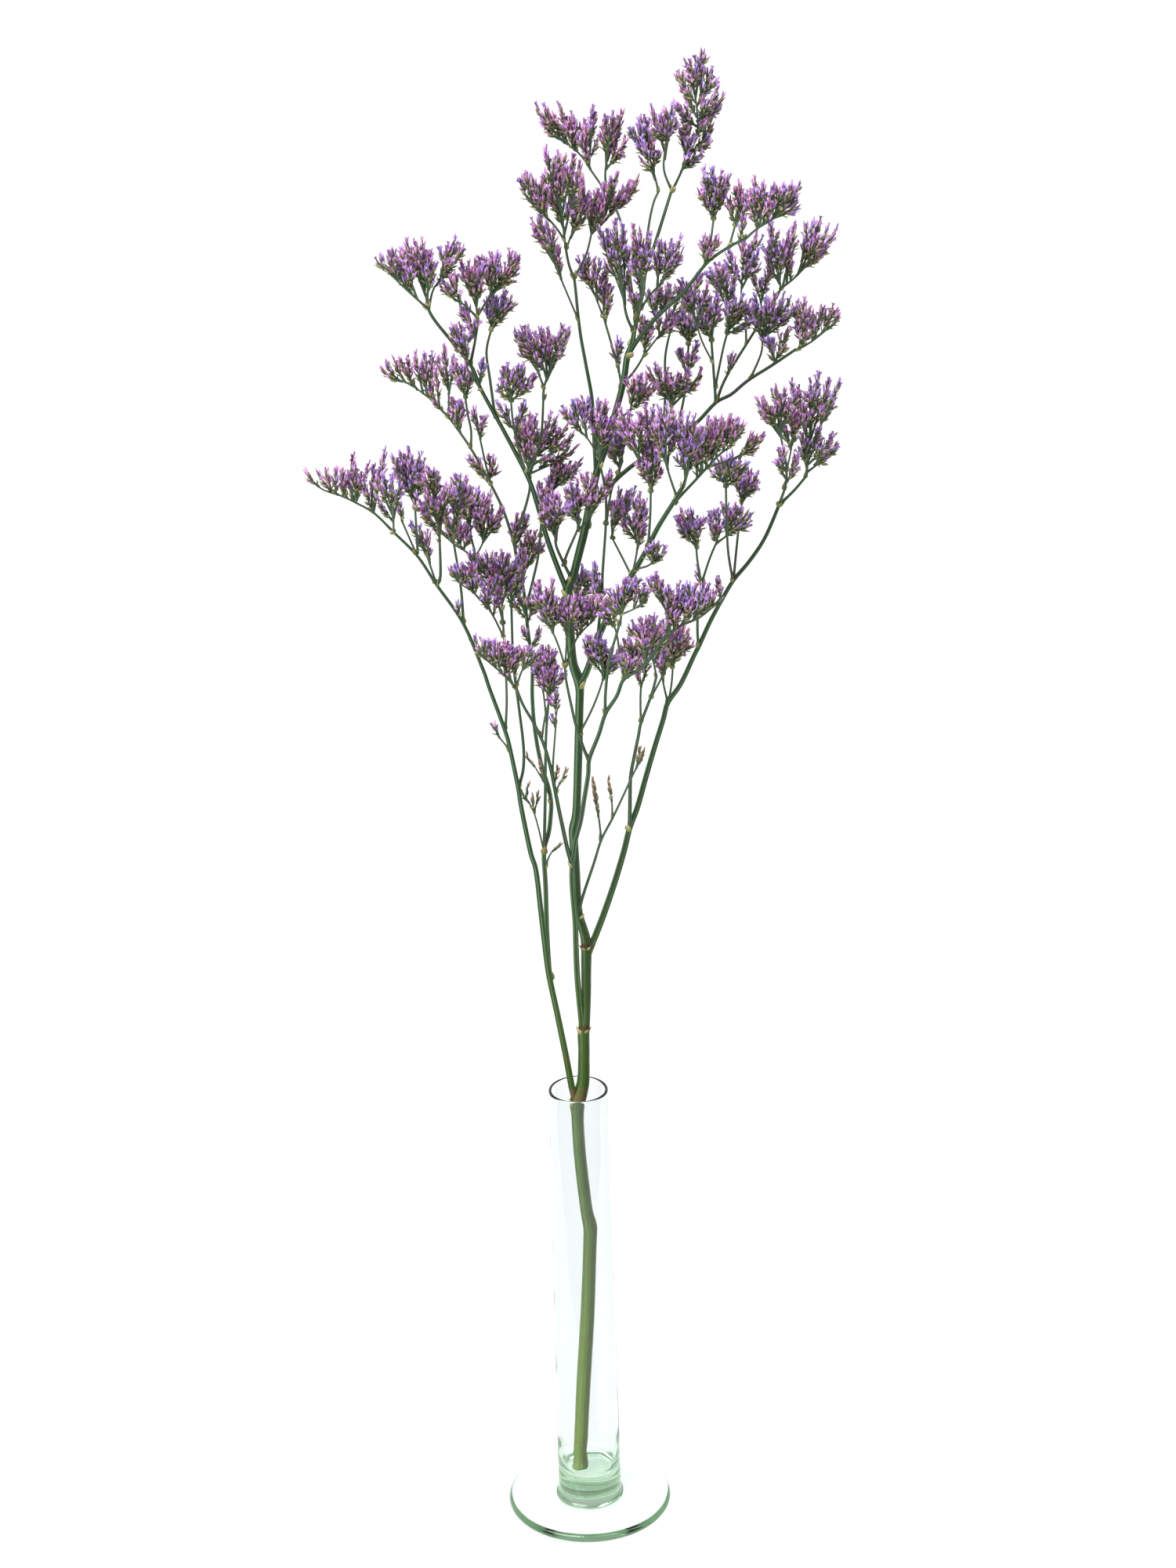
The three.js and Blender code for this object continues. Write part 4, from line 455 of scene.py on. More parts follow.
grow("right_branch", "main_stem", stems=[
    ([3, 1.5], [(5.4, 278.5), (8.3, 283.5), (10.5, 289), (13.3, 296.5), (18.2, 311), (22.5, 325.5),
      (25.1, 336), (28.6, 345.5), (32.1, 358), (36, 371.5), (40.3, 385.5), (42.3, 392.8), (47.8, 401),
      (53.8, 414), (55.8, 418), (60.5, 428.5), (65.5, 438), (70.4, 446.4), (77, 454.5), (83.5, 464.5),
      (89.6, 479, 28)]),
    ([1.2, 1], [(55.6, 417.5), (55.2, 424), (55.6, 434), (57.3, 446, 12)]),
    ([1, 0.9], [(57.2, 445), (55.6, 455), (55.2, 461, 8)]),
    ([1, 0.9], [(57.2, 445.5), (60.6, 456), (63.5, 463, 14)]),
    ([1.1, 0.9], [(70.2, 446), (68.3, 459), (67.8, 476), (67.7, 487, 4)]),
    ([1.1, 0.9], [(70.4, 446.5), (72.4, 466), (74.2, 480, 24)]),
    ([0.9, 0.8], [(42.3, 393), (40.9, 399.7), (39.9, 406, 26)]),
    ([0.9, 0.8], [(42.6, 393), (44, 401), (44.7, 409, 30)]),
    ([1.3, 1.1], [(89.4, 478.5), (91.8, 485.5, 22)]),
    ([1.3, 1.1], [(89.6, 478.8), (95.5, 484.5), (100.5, 490.5, 34)]),
    ([0.9, 0.8], [(44.7, 408), (44.4, 411.5, 30)]),
    ([0.9, 0.7], [(55.2, 460.5), (55.3, 463.5, 8)]),
    ([0.9, 0.7], [(63.5, 462.5), (67, 465.3), (70, 467.5, 16)]),
    ([0.9, 0.8], [(67.7, 486.5), (67.7, 490, 4)]),
    ([0.9, 0.8], [(74.2, 479.5), (74.4, 482, 24)]),
], tufts=[
    ((65.3, 437.5), [(64.2, 447.5)]),
    ((56.9, 444), [(55.8, 452)]),
    ((39.9, 405), [(38.6, 416.5), (41, 416)]),
    ((44.5, 410.5), [(44.5, 422), (48.8, 420), (46.5, 425), (41.5, 421)]),
    ((55.3, 462.5), [(47, 474), (49, 478.5), (53.5, 477.5), (56.5, 474)]),
    ((64, 463), [(60.8, 476), (64.5, 477.5), (61, 470.5)]),
    ((68.5, 466), [(67.6, 480), (71.4, 479.5), (74.5, 477), (78, 475.5)]),
    ((67.7, 489.5), [(63, 497.5), (66, 500.5), (70.5, 502), (74, 499.5), (77, 497)]),
    ((74.3, 481.5), [(72, 491.5), (75.2, 494), (78.2, 494), (80.7, 493)]),
])
grow("right_end_head", "right_branch", stems=[
    ([1.1, 0.8], [(91.8, 485), (92.6, 494), (90.6, 506), (89.5, 512.5, 18)]),
    ([0.8, 0.7], [(92.5, 493), (94.2, 500.5), (95, 506, 26)]),
], tufts=[
    ((89.6, 511.5), [(80.6, 524.7), (83, 525.5), (88.3, 529.3), (92, 528.5), (95.7, 527.5)]),
    ((94.9, 505.5), [(91.5, 514), (96, 520), (98.3, 518.5)]),
    ((92.7, 492.5), [(89, 498), (89.5, 503), (97.5, 500)]),
])
grow("right_end_tall_head", "right_branch", stems=[
    ([1.1, 0.8], [(100.5, 490), (101.5, 499), (102.3, 508.5, 40)]),
], tufts=[
    ((102.3, 507.5), [(94.8, 532), (97.5, 529.5), (102.5, 531.5), (105.6, 534.5), (110, 532.5),
      (114.3, 532)]),
    ((101.3, 497), [(98.7, 509), (106.2, 510.5), (111.8, 508.5), (113.5, 505.5)]),
])
grow("right_inner_branch", "right_branch", stems=[
    ([1.7, 1.1], [(25.1, 335.5), (25.5, 346), (26, 359), (27.5, 367.6), (29.9, 379), (30.9, 384),
      (35.5, 396.4), (37.8, 404.8, -10)]),
    ([1, 0.8], [(30.9, 384), (30.8, 392), (31.3, 400.5), (33.5, 406, 14)]),
    ([0.9, 0.8], [(35, 395), (38, 400.3), (42.6, 409.5, 0)]),
    ([0.9, 0.7], [(37.8, 404.5), (37, 409), (36, 415, -14)]),
], tufts=[
    ((33.3, 405.5), [(34, 416), (30.3, 414)]),
    ((31.2, 400), [(30, 409.5)]),
    ((36.2, 414), [(35.8, 425.5), (38.5, 424.5), (40, 427.5), (43, 428.5)]),
])
grow("right_inner_head", "right_inner_branch", stems=[
    ([0.9, 0.8], [(42.5, 409), (44, 412.5, 0)]),
], tufts=[
    ((43.8, 412), [(45, 425.5), (47.5, 426.5), (49.6, 427), (51.5, 425.5), (51.8, 422)]),
])
grow("budded_twig", "main_stem", stems=[
    ([1.4, 0.8], [(2, 295.5), (4.5, 305), (9.6, 320.3), (12.9, 330.7), (17.9, 340.6), (22.3, 350),
      (27.4, 361.3), (30, 366, -24)]),
    ([0.9, 0.8], [(12.9, 330.5), (12.3, 339), (11.3, 347, -10)]),
    ([0.8, 0.7], [(18, 341), (17.8, 350, -14)]),
], tufts=[
    ((11.4, 345), [(10.3, 360)]),
    ((11.8, 341.5), [(11.3, 352)]),
    ((17.8, 348.5), [(16.6, 360)]),
    ((29.7, 365.5), [(30.2, 373.5), (32.3, 373)]),
])
grow("middle_right_branch", "main_stem", stems=[
    ([3, 1.7], [(5.6, 402), (9, 408.5), (13.7, 422), (20, 436), (28, 449), (34.6, 460.5), (39.7, 470.5),
      (46.2, 481), (50.3, 488, -42)]),
    ([1.3, 0.9], [(13.4, 421), (15.8, 442.4), (16.4, 452), (18.2, 473), (18.3, 486), (16.5, 498, -16)]),
    ([1.1, 0.9], [(35.4, 462), (36.5, 476), (36.9, 486, -26)]),
    ([1, 0.8], [(28.3, 449.5), (24.5, 458), (20.8, 466, 6)]),
    ([0.9, 0.8], [(28.6, 450), (30.5, 459), (31.2, 464, 2)]),
    ([1, 0.8], [(18.3, 472), (20.6, 486), (23.5, 494, 10)]),
    ([0.9, 0.8], [(30, 452.5), (34.5, 453.5), (37, 455, -34)]),
    ([0.8, 0.7], [(37, 454.5), (38.2, 456.5, -34)]),
    ([0.9, 0.7], [(20.9, 465.5), (20.4, 474, 6)]),
    ([0.9, 0.7], [(31.2, 463.5), (31, 467, 0)]),
    ([0.9, 0.8], [(23.5, 493.5), (25.7, 499.5, 12)]),
    ([1, 0.8], [(47.5, 483.2), (44.5, 493), (43, 500.5, -50)]),
], tufts=[
    ((18.3, 483), [(20.5, 495.5)]),
    ((31.2, 461), [(33.5, 473)]),
    ((14.3, 435), [(14.1, 447), (12.9, 456.5)]),
    ((37.5, 455.3), [(34.5, 461), (37.5, 464.5), (40, 463.5), (42.5, 461.5)]),
    ((20.4, 473.5), [(24.5, 487), (27, 485.5), (30.5, 488), (22.5, 482)]),
    ((31, 466), [(24, 474.5), (25.5, 481), (32, 485), (34.3, 482.5)]),
    ((25.5, 498.5), [(20.5, 508), (22.7, 513), (25.5, 520), (29, 520.5)]),
    ((43, 499.5), [(41.2, 522), (44, 523), (46.5, 520), (39.5, 515)]),
])
grow("centre_head", "middle_right_branch", stems=[
    ([0.9, 0.8], [(16.6, 497), (16, 506, -18)]),
    ([0.8, 0.7], [(16.3, 500), (12.5, 508), (8, 513.5, -20)]),
], tufts=[
    ((8.3, 513), [(2.5, 523), (6.2, 526), (10, 527.5)]),
    ((15.8, 504.5), [(12.7, 527), (16.3, 526), (19.3, 526), (24.3, 525), (20.5, 517)]),
])
grow("big_head_left", "middle_right_branch", stems=[
    ([1, 0.8], [(36.9, 485.5), (37.2, 496, -24)]),
    ([0.8, 0.7], [(36.9, 488), (32.8, 498), (30.5, 504, -30)]),
], tufts=[
    ((30.8, 503), [(25, 521), (28.5, 520.5), (33, 520), (27, 514)]),
    ((37.2, 495), [(35.7, 523), (38.3, 522), (33.5, 511), (39.5, 511.5)]),
    ((36.9, 489), [(32, 498.5), (40.5, 500)]),
])
grow("big_head_middle", "middle_right_branch", stems=[
    ([1.3, 1], [(50.2, 487.6), (52.6, 495.5, -46)]),
], tufts=[
    ((52.4, 494.5), [(49.5, 519), (52.5, 518), (55, 517.5), (50, 510.5), (56.5, 511)]),
])
grow("big_head_right", "middle_right_branch", stems=[
    ([1.3, 0.8], [(46, 480.5), (55, 490), (65.3, 501), (70, 504, -34)]),
    ([0.8, 0.7], [(60, 495.3), (68, 498), (74.3, 500, -24)]),
], tufts=[
    ((58, 493.5), [(58, 513), (61, 517.5), (55.5, 507)]),
    ((64, 499.5), [(63.8, 517), (66.5, 517.5), (61, 511)]),
    ((69.3, 503.5), [(70, 517.5), (73, 516.5), (75.3, 515)]),
    ((73.8, 499.5), [(78.5, 509.5), (83.7, 510)]),
])
grow("head_by_the_fork", "main_stem", stems=[
    ([1.4, 1], [(3.6, 448.8), (0.6, 455.5), (-2.6, 464), (-2.2, 470, -14)]),
    ([1.2, 0.9], [(0, 455), (2.3, 461), (6.3, 470), (8, 475, -18)]),
    ([0.9, 0.8], [(6.3, 470), (10.5, 474), (12, 478, -16)]),
], tufts=[
    ((-2.3, 469.5), [(-8.8, 482.5), (-6.5, 485), (-3.8, 487), (-0.5, 485)]),
    ((7.8, 474), [(2, 488), (4, 491.5), (7, 491), (3.5, 483)]),
    ((11.8, 477.5), [(10.8, 494.5), (14, 488), (16.8, 489.5), (13.5, 483.5)]),
])
grow("upper_left_branch", "main_stem", stems=[
    ([2.3, 1.2], [(1.8, 443), (-1.6, 452.6), (-6.1, 467), (-10, 483), (-13.3, 494), (-21.8, 512.5),
      (-31, 531.5), (-35, 542), (-48, 560), (-51, 566, -38)]),
    ([1.2, 0.9], [(-13, 493.5), (-8.8, 505), (-6.9, 513.5), (-5.9, 527, -8)]),
    ([1, 0.8], [(-14.2, 496.5), (-17, 507), (-18.5, 517), (-19, 526, -30)]),
    ([1.2, 0.9], [(-25.6, 519), (-27.2, 535.5), (-28.2, 547), (-26, 556, -12)]),
    ([1.2, 0.9], [(-35, 542), (-33, 550), (-31, 560, -26)]),
    ([0.9, 0.8], [(-31, 531.5), (-36, 540), (-36.3, 546, -34)]),
    ([0.9, 0.8], [(-19, 525.5), (-19, 529, -30)]),
    ([0.9, 0.8], [(-26, 555.5), (-25.3, 559, -12)]),
], tufts=[
    ((-18.2, 514), [(-24, 525.5), (-14.5, 525.5)]),
    ((-31, 533.5), [(-29.5, 543.5)]),
    ((-36.3, 545.5), [(-42.5, 557.5), (-40, 558.5), (-37, 556.5)]),
    ((-19, 528), [(-24.5, 533), (-22.3, 539.5), (-20, 541.5), (-16, 540), (-13.5, 542), (-8.5, 537.5)]),
    ((-25.4, 558), [(-27.4, 569), (-24.2, 571), (-19.3, 572), (-17.3, 569.5)]),
    ((-32.5, 556), [(-38, 567), (-35.5, 564)]),
])
grow("inner_upper_head", "upper_left_branch", stems=[
    ([1, 0.8], [(-5.9, 526.5), (-5.4, 532), (-2.6, 539, -6)]),
    ([0.9, 0.8], [(-5.4, 531), (-9, 542, -12)]),
], tufts=[
    ((-9, 541), [(-16.7, 556), (-13.8, 557), (-10.7, 554.5)]),
    ((-2.8, 538), [(-8.5, 555), (-6, 557), (-3, 556.5), (2.7, 557.5), (5.3, 556.5)]),
])
grow("upper_left_end_head", "upper_left_branch", stems=[
    ([1, 0.7], [(-51, 565.5), (-60, 574.5), (-66, 581, -46)]),
    ([0.9, 0.7], [(-50.8, 566), (-52.5, 576, -34)]),
    ([0.9, 0.7], [(-50.6, 565.5), (-48.5, 573.5), (-44, 579, -28)]),
], tufts=[
    ((-64.5, 579), [(-69.3, 588.5), (-66, 590)]),
    ((-59, 573.5), [(-63.5, 588.5), (-60.5, 591), (-62, 582.5)]),
    ((-52.5, 575), [(-58.5, 594), (-55, 593), (-52, 593.5), (-49, 590)]),
    ((-44.5, 578), [(-41.8, 592), (-39, 595), (-36.8, 590.5), (-42.5, 585.5)]),
])
grow("upper_left_middle_head", "upper_left_branch", stems=[
    ([1, 0.8], [(-31, 559.5), (-31.5, 565), (-32, 569, -26)]),
    ([0.9, 0.7], [(-31.6, 561.5), (-36, 566.5), (-40.5, 569, -34)]),
    ([0.9, 0.7], [(-30.9, 562.5), (-27, 568.5), (-22, 574, -18)]),
], tufts=[
    ((-39.5, 568.3), [(-44.8, 577.5), (-41.5, 579)]),
    ((-32, 568), [(-37, 585), (-34, 582), (-31.3, 585.5), (-29, 583)]),
    ((-23.5, 572), [(-28.3, 587), (-24.8, 588), (-22.3, 587.5), (-26.3, 580.5)]),
    ((-22, 573.5), [(-18.5, 583), (-15.2, 587.5), (-13.3, 586.5), (-17.5, 578)]),
])
grow("upper_middle_branch", "main_stem", stems=[
    ([1.7, 1.1], [(14.7, 493), (14.3, 509), (13.8, 526), (11.8, 540), (9.7, 554.5), (8.3, 572.5),
      (7.9, 577, -12)]),
    ([0.8, 0.7], [(9.2, 559), (3.5, 574), (-1, 586, -22)]),
], tufts=[
    ((3, 576), [(1, 589.5)]),
    ((-0.8, 585.5), [(-8, 600.5), (-5.3, 603), (-2.4, 600.5)]),
])
grow("upper_middle_left_head", "upper_middle_branch", stems=[
    ([1.1, 0.8], [(7.9, 576.5), (6, 582), (4.8, 590), (4, 600), (3, 610, -18)]),
    ([0.9, 0.7], [(4.6, 592), (0, 599), (-6, 605), (-10, 609.5, -28)]),
    ([0.8, 0.7], [(5.1, 588.5), (8, 596, -8)]),
], tufts=[
    ((-9, 608.5), [(-12.3, 617.5), (-9.5, 620)]),
    ((-3.5, 602.7), [(-6, 616.5), (-3, 619), (-8, 611.5)]),
    ((3, 608.5), [(-2, 629.5), (3, 628), (9, 627), (5.5, 622), (0.5, 620.5)]),
    ((4, 600), [(-0.5, 613), (11.5, 623.5), (8.5, 611.5)]),
    ((7.8, 595), [(10, 609), (13.3, 608)]),
])
grow("upper_middle_right_head", "upper_middle_branch", stems=[
    ([1, 0.8], [(7.9, 576.5), (13, 586), (15.5, 595.5, 4)]),
    ([0.8, 0.7], [(15.3, 594.5), (19, 597.5), (25, 604, 12)]),
], tufts=[
    ((15.4, 594.5), [(12, 617), (15, 611.5), (18.3, 612), (20.5, 606)]),
    ((19.5, 598), [(22.5, 615), (26, 619.5)]),
    ((25, 603.3), [(31, 615.5), (34.7, 617.5), (28.5, 613)]),
])
grow("small_middle_head", "main_stem", stems=[
    ([1, 0.9], [(26, 530), (24.5, 539.5), (19.2, 560.5, 16)]),
    ([0.8, 0.7], [(19.2, 560), (15, 572.5, 14)]),
], tufts=[
    ((15, 572), [(9.8, 584.5), (12, 586), (16, 584.5)]),
    ((19.2, 560.5), [(20.8, 582), (21.5, 573.5)]),
    ((24.8, 537), [(24.8, 551.5)]),
])
grow("top_branch", "main_stem", stems=[
    ([2, 1.6], [(30.6, 547.5), (31.3, 553), (32.8, 559, 6)]),
    ([1.6, 1.2], [(32.6, 558), (36, 576), (41, 591), (47.5, 611, 28)]),
    ([1.1, 0.9], [(34.5, 568), (37.6, 593.5), (40, 605.5), (42.5, 611, 36)]),
    ([1.2, 1], [(32.2, 557.5), (30, 578), (27, 599), (21.7, 611, 44)]),
    ([0.9, 0.7], [(42.3, 610.5), (40, 620), (36.5, 627, 38)]),
    ([1.2, 0.9], [(31.4, 553.5), (28.4, 561), (27, 573, -6)]),
], tufts=[
    ((37, 626), [(32.5, 637), (35, 640.5), (38.3, 639.5)]),
    ((40.3, 618), [(40.5, 630.5), (36.5, 631.5)]),
    ((27.2, 572), [(18.5, 597), (21.5, 596.5), (24.5, 600), (28, 598)]),
])
grow("crown_head", "top_branch", stems=[
    ([1.1, 0.9], [(32.5, 557.8), (33.9, 562.5), (36, 572, -16)]),
    ([1, 0.8], [(34, 562.8), (39, 569.5), (43.5, 573.5, -14)]),
], tufts=[
    ((36, 571.5), [(32, 597.5), (34.5, 595.5), (38.5, 594), (31.5, 588.5)]),
    ((43, 573), [(42.3, 591.5), (47, 590.5), (50.7, 592.5), (51.5, 587)]),
    ((32.8, 561), [(30.3, 573.5)]),
])
grow("top_left_head", "top_branch", stems=[
    ([1, 0.7], [(21.8, 610.5), (16, 619.5), (11, 627), (2.5, 633.5, 52)]),
    ([1, 0.8], [(21.9, 610.5), (21.3, 618), (22.5, 626, 38)]),
], tufts=[
    ((3.5, 632.7), [(-5.7, 647.5), (-2, 646.5), (-3, 640.5)]),
    ((9.5, 628.3), [(4, 647), (9, 642.5), (7, 639)]),
    ((14.5, 622), [(17, 645.5), (13.5, 640), (12.5, 635)]),
    ((22.3, 625), [(21.5, 641), (25, 643), (28.5, 643.5), (29.8, 633)]),
])
grow("top_right_plume", "top_branch", stems=[
    ([1.1, 0.7], [(47.5, 610.5), (51, 617.5), (57.5, 632), (58, 642), (57, 650, 34)]),
    ([1, 0.7], [(47.5, 611), (44.5, 620), (46, 632, 24)]),
], tufts=[
    ((57, 649), [(50, 657.5), (55.5, 663), (60.3, 666.5), (64.5, 658.5)]),
    ((57.9, 640), [(50, 646), (53, 652.5), (66.5, 652), (68.5, 649)]),
    ((56.5, 630), [(64.5, 637), (64, 630.5), (62.5, 644), (53, 641.5)]),
    ((52, 619.5), [(60, 626.5), (56.5, 633.5)]),
    ((46, 631), [(40.2, 645), (43, 639.5), (45.7, 643.5), (48.3, 645)]),
])
grow("top_right_branch", "main_stem", stems=[
    ([1.9, 1.1], [(28.8, 544), (33.5, 551), (40, 558.8), (51.8, 569.7), (61, 581), (69.3, 587),
      (76, 590.3, -24)]),
    ([1, 0.8], [(61, 581), (62.7, 590), (64, 599, -8)]),
    ([0.9, 0.8], [(70, 587.3), (72.5, 596, -12)]),
    ([0.9, 0.8], [(72.5, 595.5), (73.3, 599, -12)]),
], tufts=[
    ((61, 580), [(60.5, 592.5), (65, 592.5)]),
    ((74, 589.3), [(76, 600)]),
    ((73.2, 598), [(70, 607), (74.3, 614), (79.5, 611), (76, 606)]),
])
grow("top_right_end_head", "top_right_branch", stems=[
    ([1, 0.7], [(76, 590), (81.3, 594.5), (86.5, 597.5), (90, 600, -28)]),
], tufts=[
    ((81.5, 594.5), [(80.5, 615.5), (79, 607)]),
    ((84.5, 596.3), [(84, 613), (87.8, 612), (86, 606)]),
    ((89, 599.3), [(92, 612.5), (95.5, 612.5), (98.8, 613), (97.8, 606)]),
])
grow("top_right_tall_head", "top_right_branch", stems=[
    ([0.9, 0.8], [(64, 598.5), (64.2, 602, -8)]),
], tufts=[
    ((64.1, 601), [(59.5, 611.5), (60.3, 620), (63.5, 620), (67.3, 618), (70.3, 616)]),
])
grow("right_upper_branch", "main_stem", stems=[
    ([2, 1.2], [(10, 471.5), (13, 479), (20, 488.5), (28, 496), (38, 503), (47, 509), (55.8, 514.5),
      (64, 523), (70.3, 526.3), (77.2, 532), (87.2, 538.2), (96.7, 544.5, 34)]),
    ([1.2, 1], [(64, 523), (63.3, 535), (62.5, 549, 18)]),
    ([1, 0.9], [(63.7, 529), (67.3, 546), (69, 552, 26)]),
    ([1.2, 1], [(64.3, 523.3), (68.3, 533.5), (80, 552.5), (88.3, 566, 46)]),
    ([1, 0.8], [(78, 532.5), (82.5, 543), (83, 549, 36)]),
    ([1.1, 0.9], [(38, 503), (44, 514), (46.2, 522, 10)]),
    ([1.1, 0.9], [(47, 509), (51, 525), (52.6, 540), (53.3, 548, 22)]),
    ([1.1, 0.9], [(42, 506), (43.5, 527), (43.8, 543), (46.4, 555, 30)]),
    ([0.9, 0.8], [(69, 551.5), (69.5, 555, 30)]),
    ([0.9, 0.8], [(53.3, 547.5), (53.5, 551, 22)]),
    ([0.9, 0.8], [(46.4, 554.5), (47, 562, 34)]),
    ([0.8, 0.7], [(46.1, 553.5), (42, 558), (39.3, 561, 36)]),
    ([0.8, 0.7], [(62.9, 540), (58.3, 550, 11), (55, 563, 6)]),
    ([0.9, 0.7], [(68.9, 551.6), (69.3, 560), (69.3, 568.5, 31)]),
    ([0.9, 0.7], [(76.5, 546.9), (76.2, 558), (74.7, 568), (75.3, 576, 46)]),
    ([0.8, 0.7], [(84, 559), (82.7, 563), (82, 567, 50)]),
], tufts=[
    ((88, 539), [(85.5, 550.5), (93.5, 553.5)]),
    ((51.8, 536), [(50.3, 546), (56.4, 549)]),
    ((69, 533.5), [(70.5, 543.5)]),
    ((69.4, 554), [(69, 567), (72, 567.5), (75.3, 567.5), (78.5, 565.5), (79.7, 558)]),
    ((53.4, 550), [(47, 561.5), (51, 561), (54, 562), (57.3, 560)]),
    ((39.5, 560.5), [(37, 571), (42, 572.5), (46.3, 573)]),
    ((47, 561), [(50.3, 571.5), (53.7, 568.5)]),
    ((55.1, 562.6), [(50, 574.5), (53, 573.5), (57, 576.5), (61, 572.5)]),
    ((69.3, 568.2), [(62.3, 578.5), (64.5, 580.5), (67.5, 580.5), (72.5, 577.5)]),
    ((75.2, 575.6), [(69.5, 586), (76, 590), (81, 593.5), (81.7, 586)]),
    ((82.1, 566.6), [(79.5, 576), (85.5, 578.5)]),
])
grow("right_comb", "right_upper_branch", stems=[
    ([1, 0.6], [(96.7, 544), (103, 547.5), (110, 553, 38)]),
], tufts=[
    ((109, 552.2), [(114.5, 559), (111.5, 561.5)]),
    ((104, 548), [(107, 562), (103.3, 560)]),
    ((99.5, 545.5), [(100, 565.5), (97, 563.5), (101.5, 557)]),
])
grow("right_fan", "right_upper_branch", stems=[
    ([0.9, 0.8], [(83, 548.5), (83.5, 552, 36)]),
], tufts=[
    ((83.3, 551), [(77.8, 562), (80, 568), (85, 567), (88, 567.5), (92, 568), (94.5, 566.5), (96, 562)]),
])
grow("right_upper_head", "right_upper_branch", stems=[
    ([1, 0.8], [(88.3, 565.5), (90.5, 570), (89.3, 576, 46)]),
    ([0.9, 0.7], [(90, 569.5), (95, 573), (101, 579, 52)]),
], tufts=[
    ((89.3, 575), [(84.3, 586), (86.5, 598), (88.5, 590), (91.5, 588.5)]),
    ((94.5, 572.8), [(93.8, 593.5), (96.3, 597), (94, 585)]),
    ((100.5, 578), [(103.7, 598), (106.3, 597.5), (109.5, 595), (113, 594), (109.3, 587.5)]),
])
grow("right_middle_head", "right_upper_branch", stems=[
    ([1, 0.8], [(62.5, 548.5), (62.4, 552, 18)]),
], tufts=[
    ((62.4, 551), [(57.3, 563), (59.8, 566), (62, 568), (65, 568.5), (58.5, 557)]),
])
grow("right_low_head", "right_upper_branch", stems=[
    ([0.9, 0.8], [(46.2, 521.5), (46.4, 525, 8)]),
], tufts=[
    ((46.3, 524), [(36.8, 539), (39.5, 540.5), (44, 537.5), (49, 536), (53, 538), (58.5, 537.5)]),
])
grow("left_centre_head", "left_branch", stems=[
    ([1.1, 0.9], [(-25.3, 430), (-27.2, 439), (-29.8, 445, 14), (-33.4, 450.5), (-35.4, 457.5),
      (-36.2, 463), (-37.5, 470), (-37.5, 477, 18)]),
    ([0.9, 0.7], [(-35.6, 458.5), (-40, 462.5), (-44.4, 465.5), (-48, 469.5, 22)]),
    ([0.8, 0.7], [(-35.8, 460), (-33, 465), (-31.5, 469, 14)]),
], tufts=[
    ((-37.5, 476), [(-41.3, 485.5), (-36.5, 490.5), (-33.5, 489.5), (-28.5, 488.5)]),
    ((-31.7, 468.3), [(-35.5, 481), (-32, 484), (-28, 482), (-23.7, 481)]),
    ((-47, 468.3), [(-51.5, 475.5), (-47.5, 479)]),
    ((-42, 464), [(-44.5, 475), (-41.5, 476.5), (-38.5, 473)]),
])
grow("low_fork_head", "main_stem", stems=[
    ([1, 0.8], [(5, 380), (10.8, 391.5), (15.2, 403.5), (15.6, 409.5, -16)]),
], tufts=[
    ((15.5, 409), [(7.4, 422), (10.5, 424), (14.2, 425), (16.5, 421.5)]),
    ((15.2, 404), [(19.5, 417.5), (22.3, 416.3)]),
])
grow("fork_side_head", "main_stem", stems=[
    ([0.9, 0.7], [(2.4, 433), (5, 438.5), (6.8, 443, 11)]),
], tufts=[
    ((6.7, 442.6), [(5.6, 449.5), (8, 454.5), (12, 452.5), (14, 448.5)]),
])
grow("upper_side_head", "main_stem", stems=[
    ([0.9, 0.7], [(21.6, 514), (27, 519), (32.5, 524.5, -6)]),
], tufts=[
    ((32, 524), [(30.5, 535), (34, 536), (36.5, 534), (39, 531)]),
])
grow("upper_inner_twig", "main_stem", stems=[
    ([1, 0.8], [(26.6, 532), (31, 537), (35, 543.5), (36, 549, 14)]),
    ([0.8, 0.7], [(35, 543.5), (39.7, 549.5), (43, 553.5, 18)]),
], tufts=[
    ((36, 548.5), [(33.5, 556.5), (36, 559.5), (38.8, 558.5)]),
    ((42.8, 553.2), [(41, 561.5), (45.5, 562), (47.5, 558.5)]),
])


# From the table to places in space, by the rules that made the solids

SPIKELET_LENGTH = 11.5
WIDEST_PART = 0.42
TUFT_FOOT = 3
TUFT_DEPTH = 9
GOLDEN_ANGLE = 2.4
RIDGES = 5
FINE_RIDGES = 20
# Depths of the bumps, in metres
RIDGE_DEPTH = 0.00015
CREASE_DEPTH = 0.00006
WAVE_DEPTH = 0.00012


def seen(across, up, back):
    return (Vector((across, 0, up)) - EYE) * (1 - back / EYE.y) + EYE


def filled(values, marks):
    """Missing values, worked out from the nearest given ones by length along the path."""
    given = [i for i, value in enumerate(values) if value is not None]
    return list(np.interp(marks, [marks[i] for i in given], [values[i] for i in given]))


def root_on(grown, across, up):
    """The place on the stems grown so far that is nearest: how far back it lies, and the stretch below."""
    best = (math.inf,)
    for seen_at, points, girths in grown:
        for i in range(len(seen_at) - 1):
            (ax, ay, az), (bx, by, bz) = seen_at[i], seen_at[i + 1]
            run = (bx - ax, by - ay)
            share = ((across - ax) * run[0] + (up - ay) * run[1]) / (run[0] ** 2 + run[1] ** 2)
            held = min(max(share, 0), 1)
            distance = math.hypot(ax + held * run[0] - across, ay + held * run[1] - up)
            if distance < best[0]:
                at = points[i].lerp(points[i + 1], held)
                girth = girths[i] + held * (girths[i + 1] - girths[i])
                best = (distance, az + held * (bz - az), at, points[i], girth)
    return best[1:]


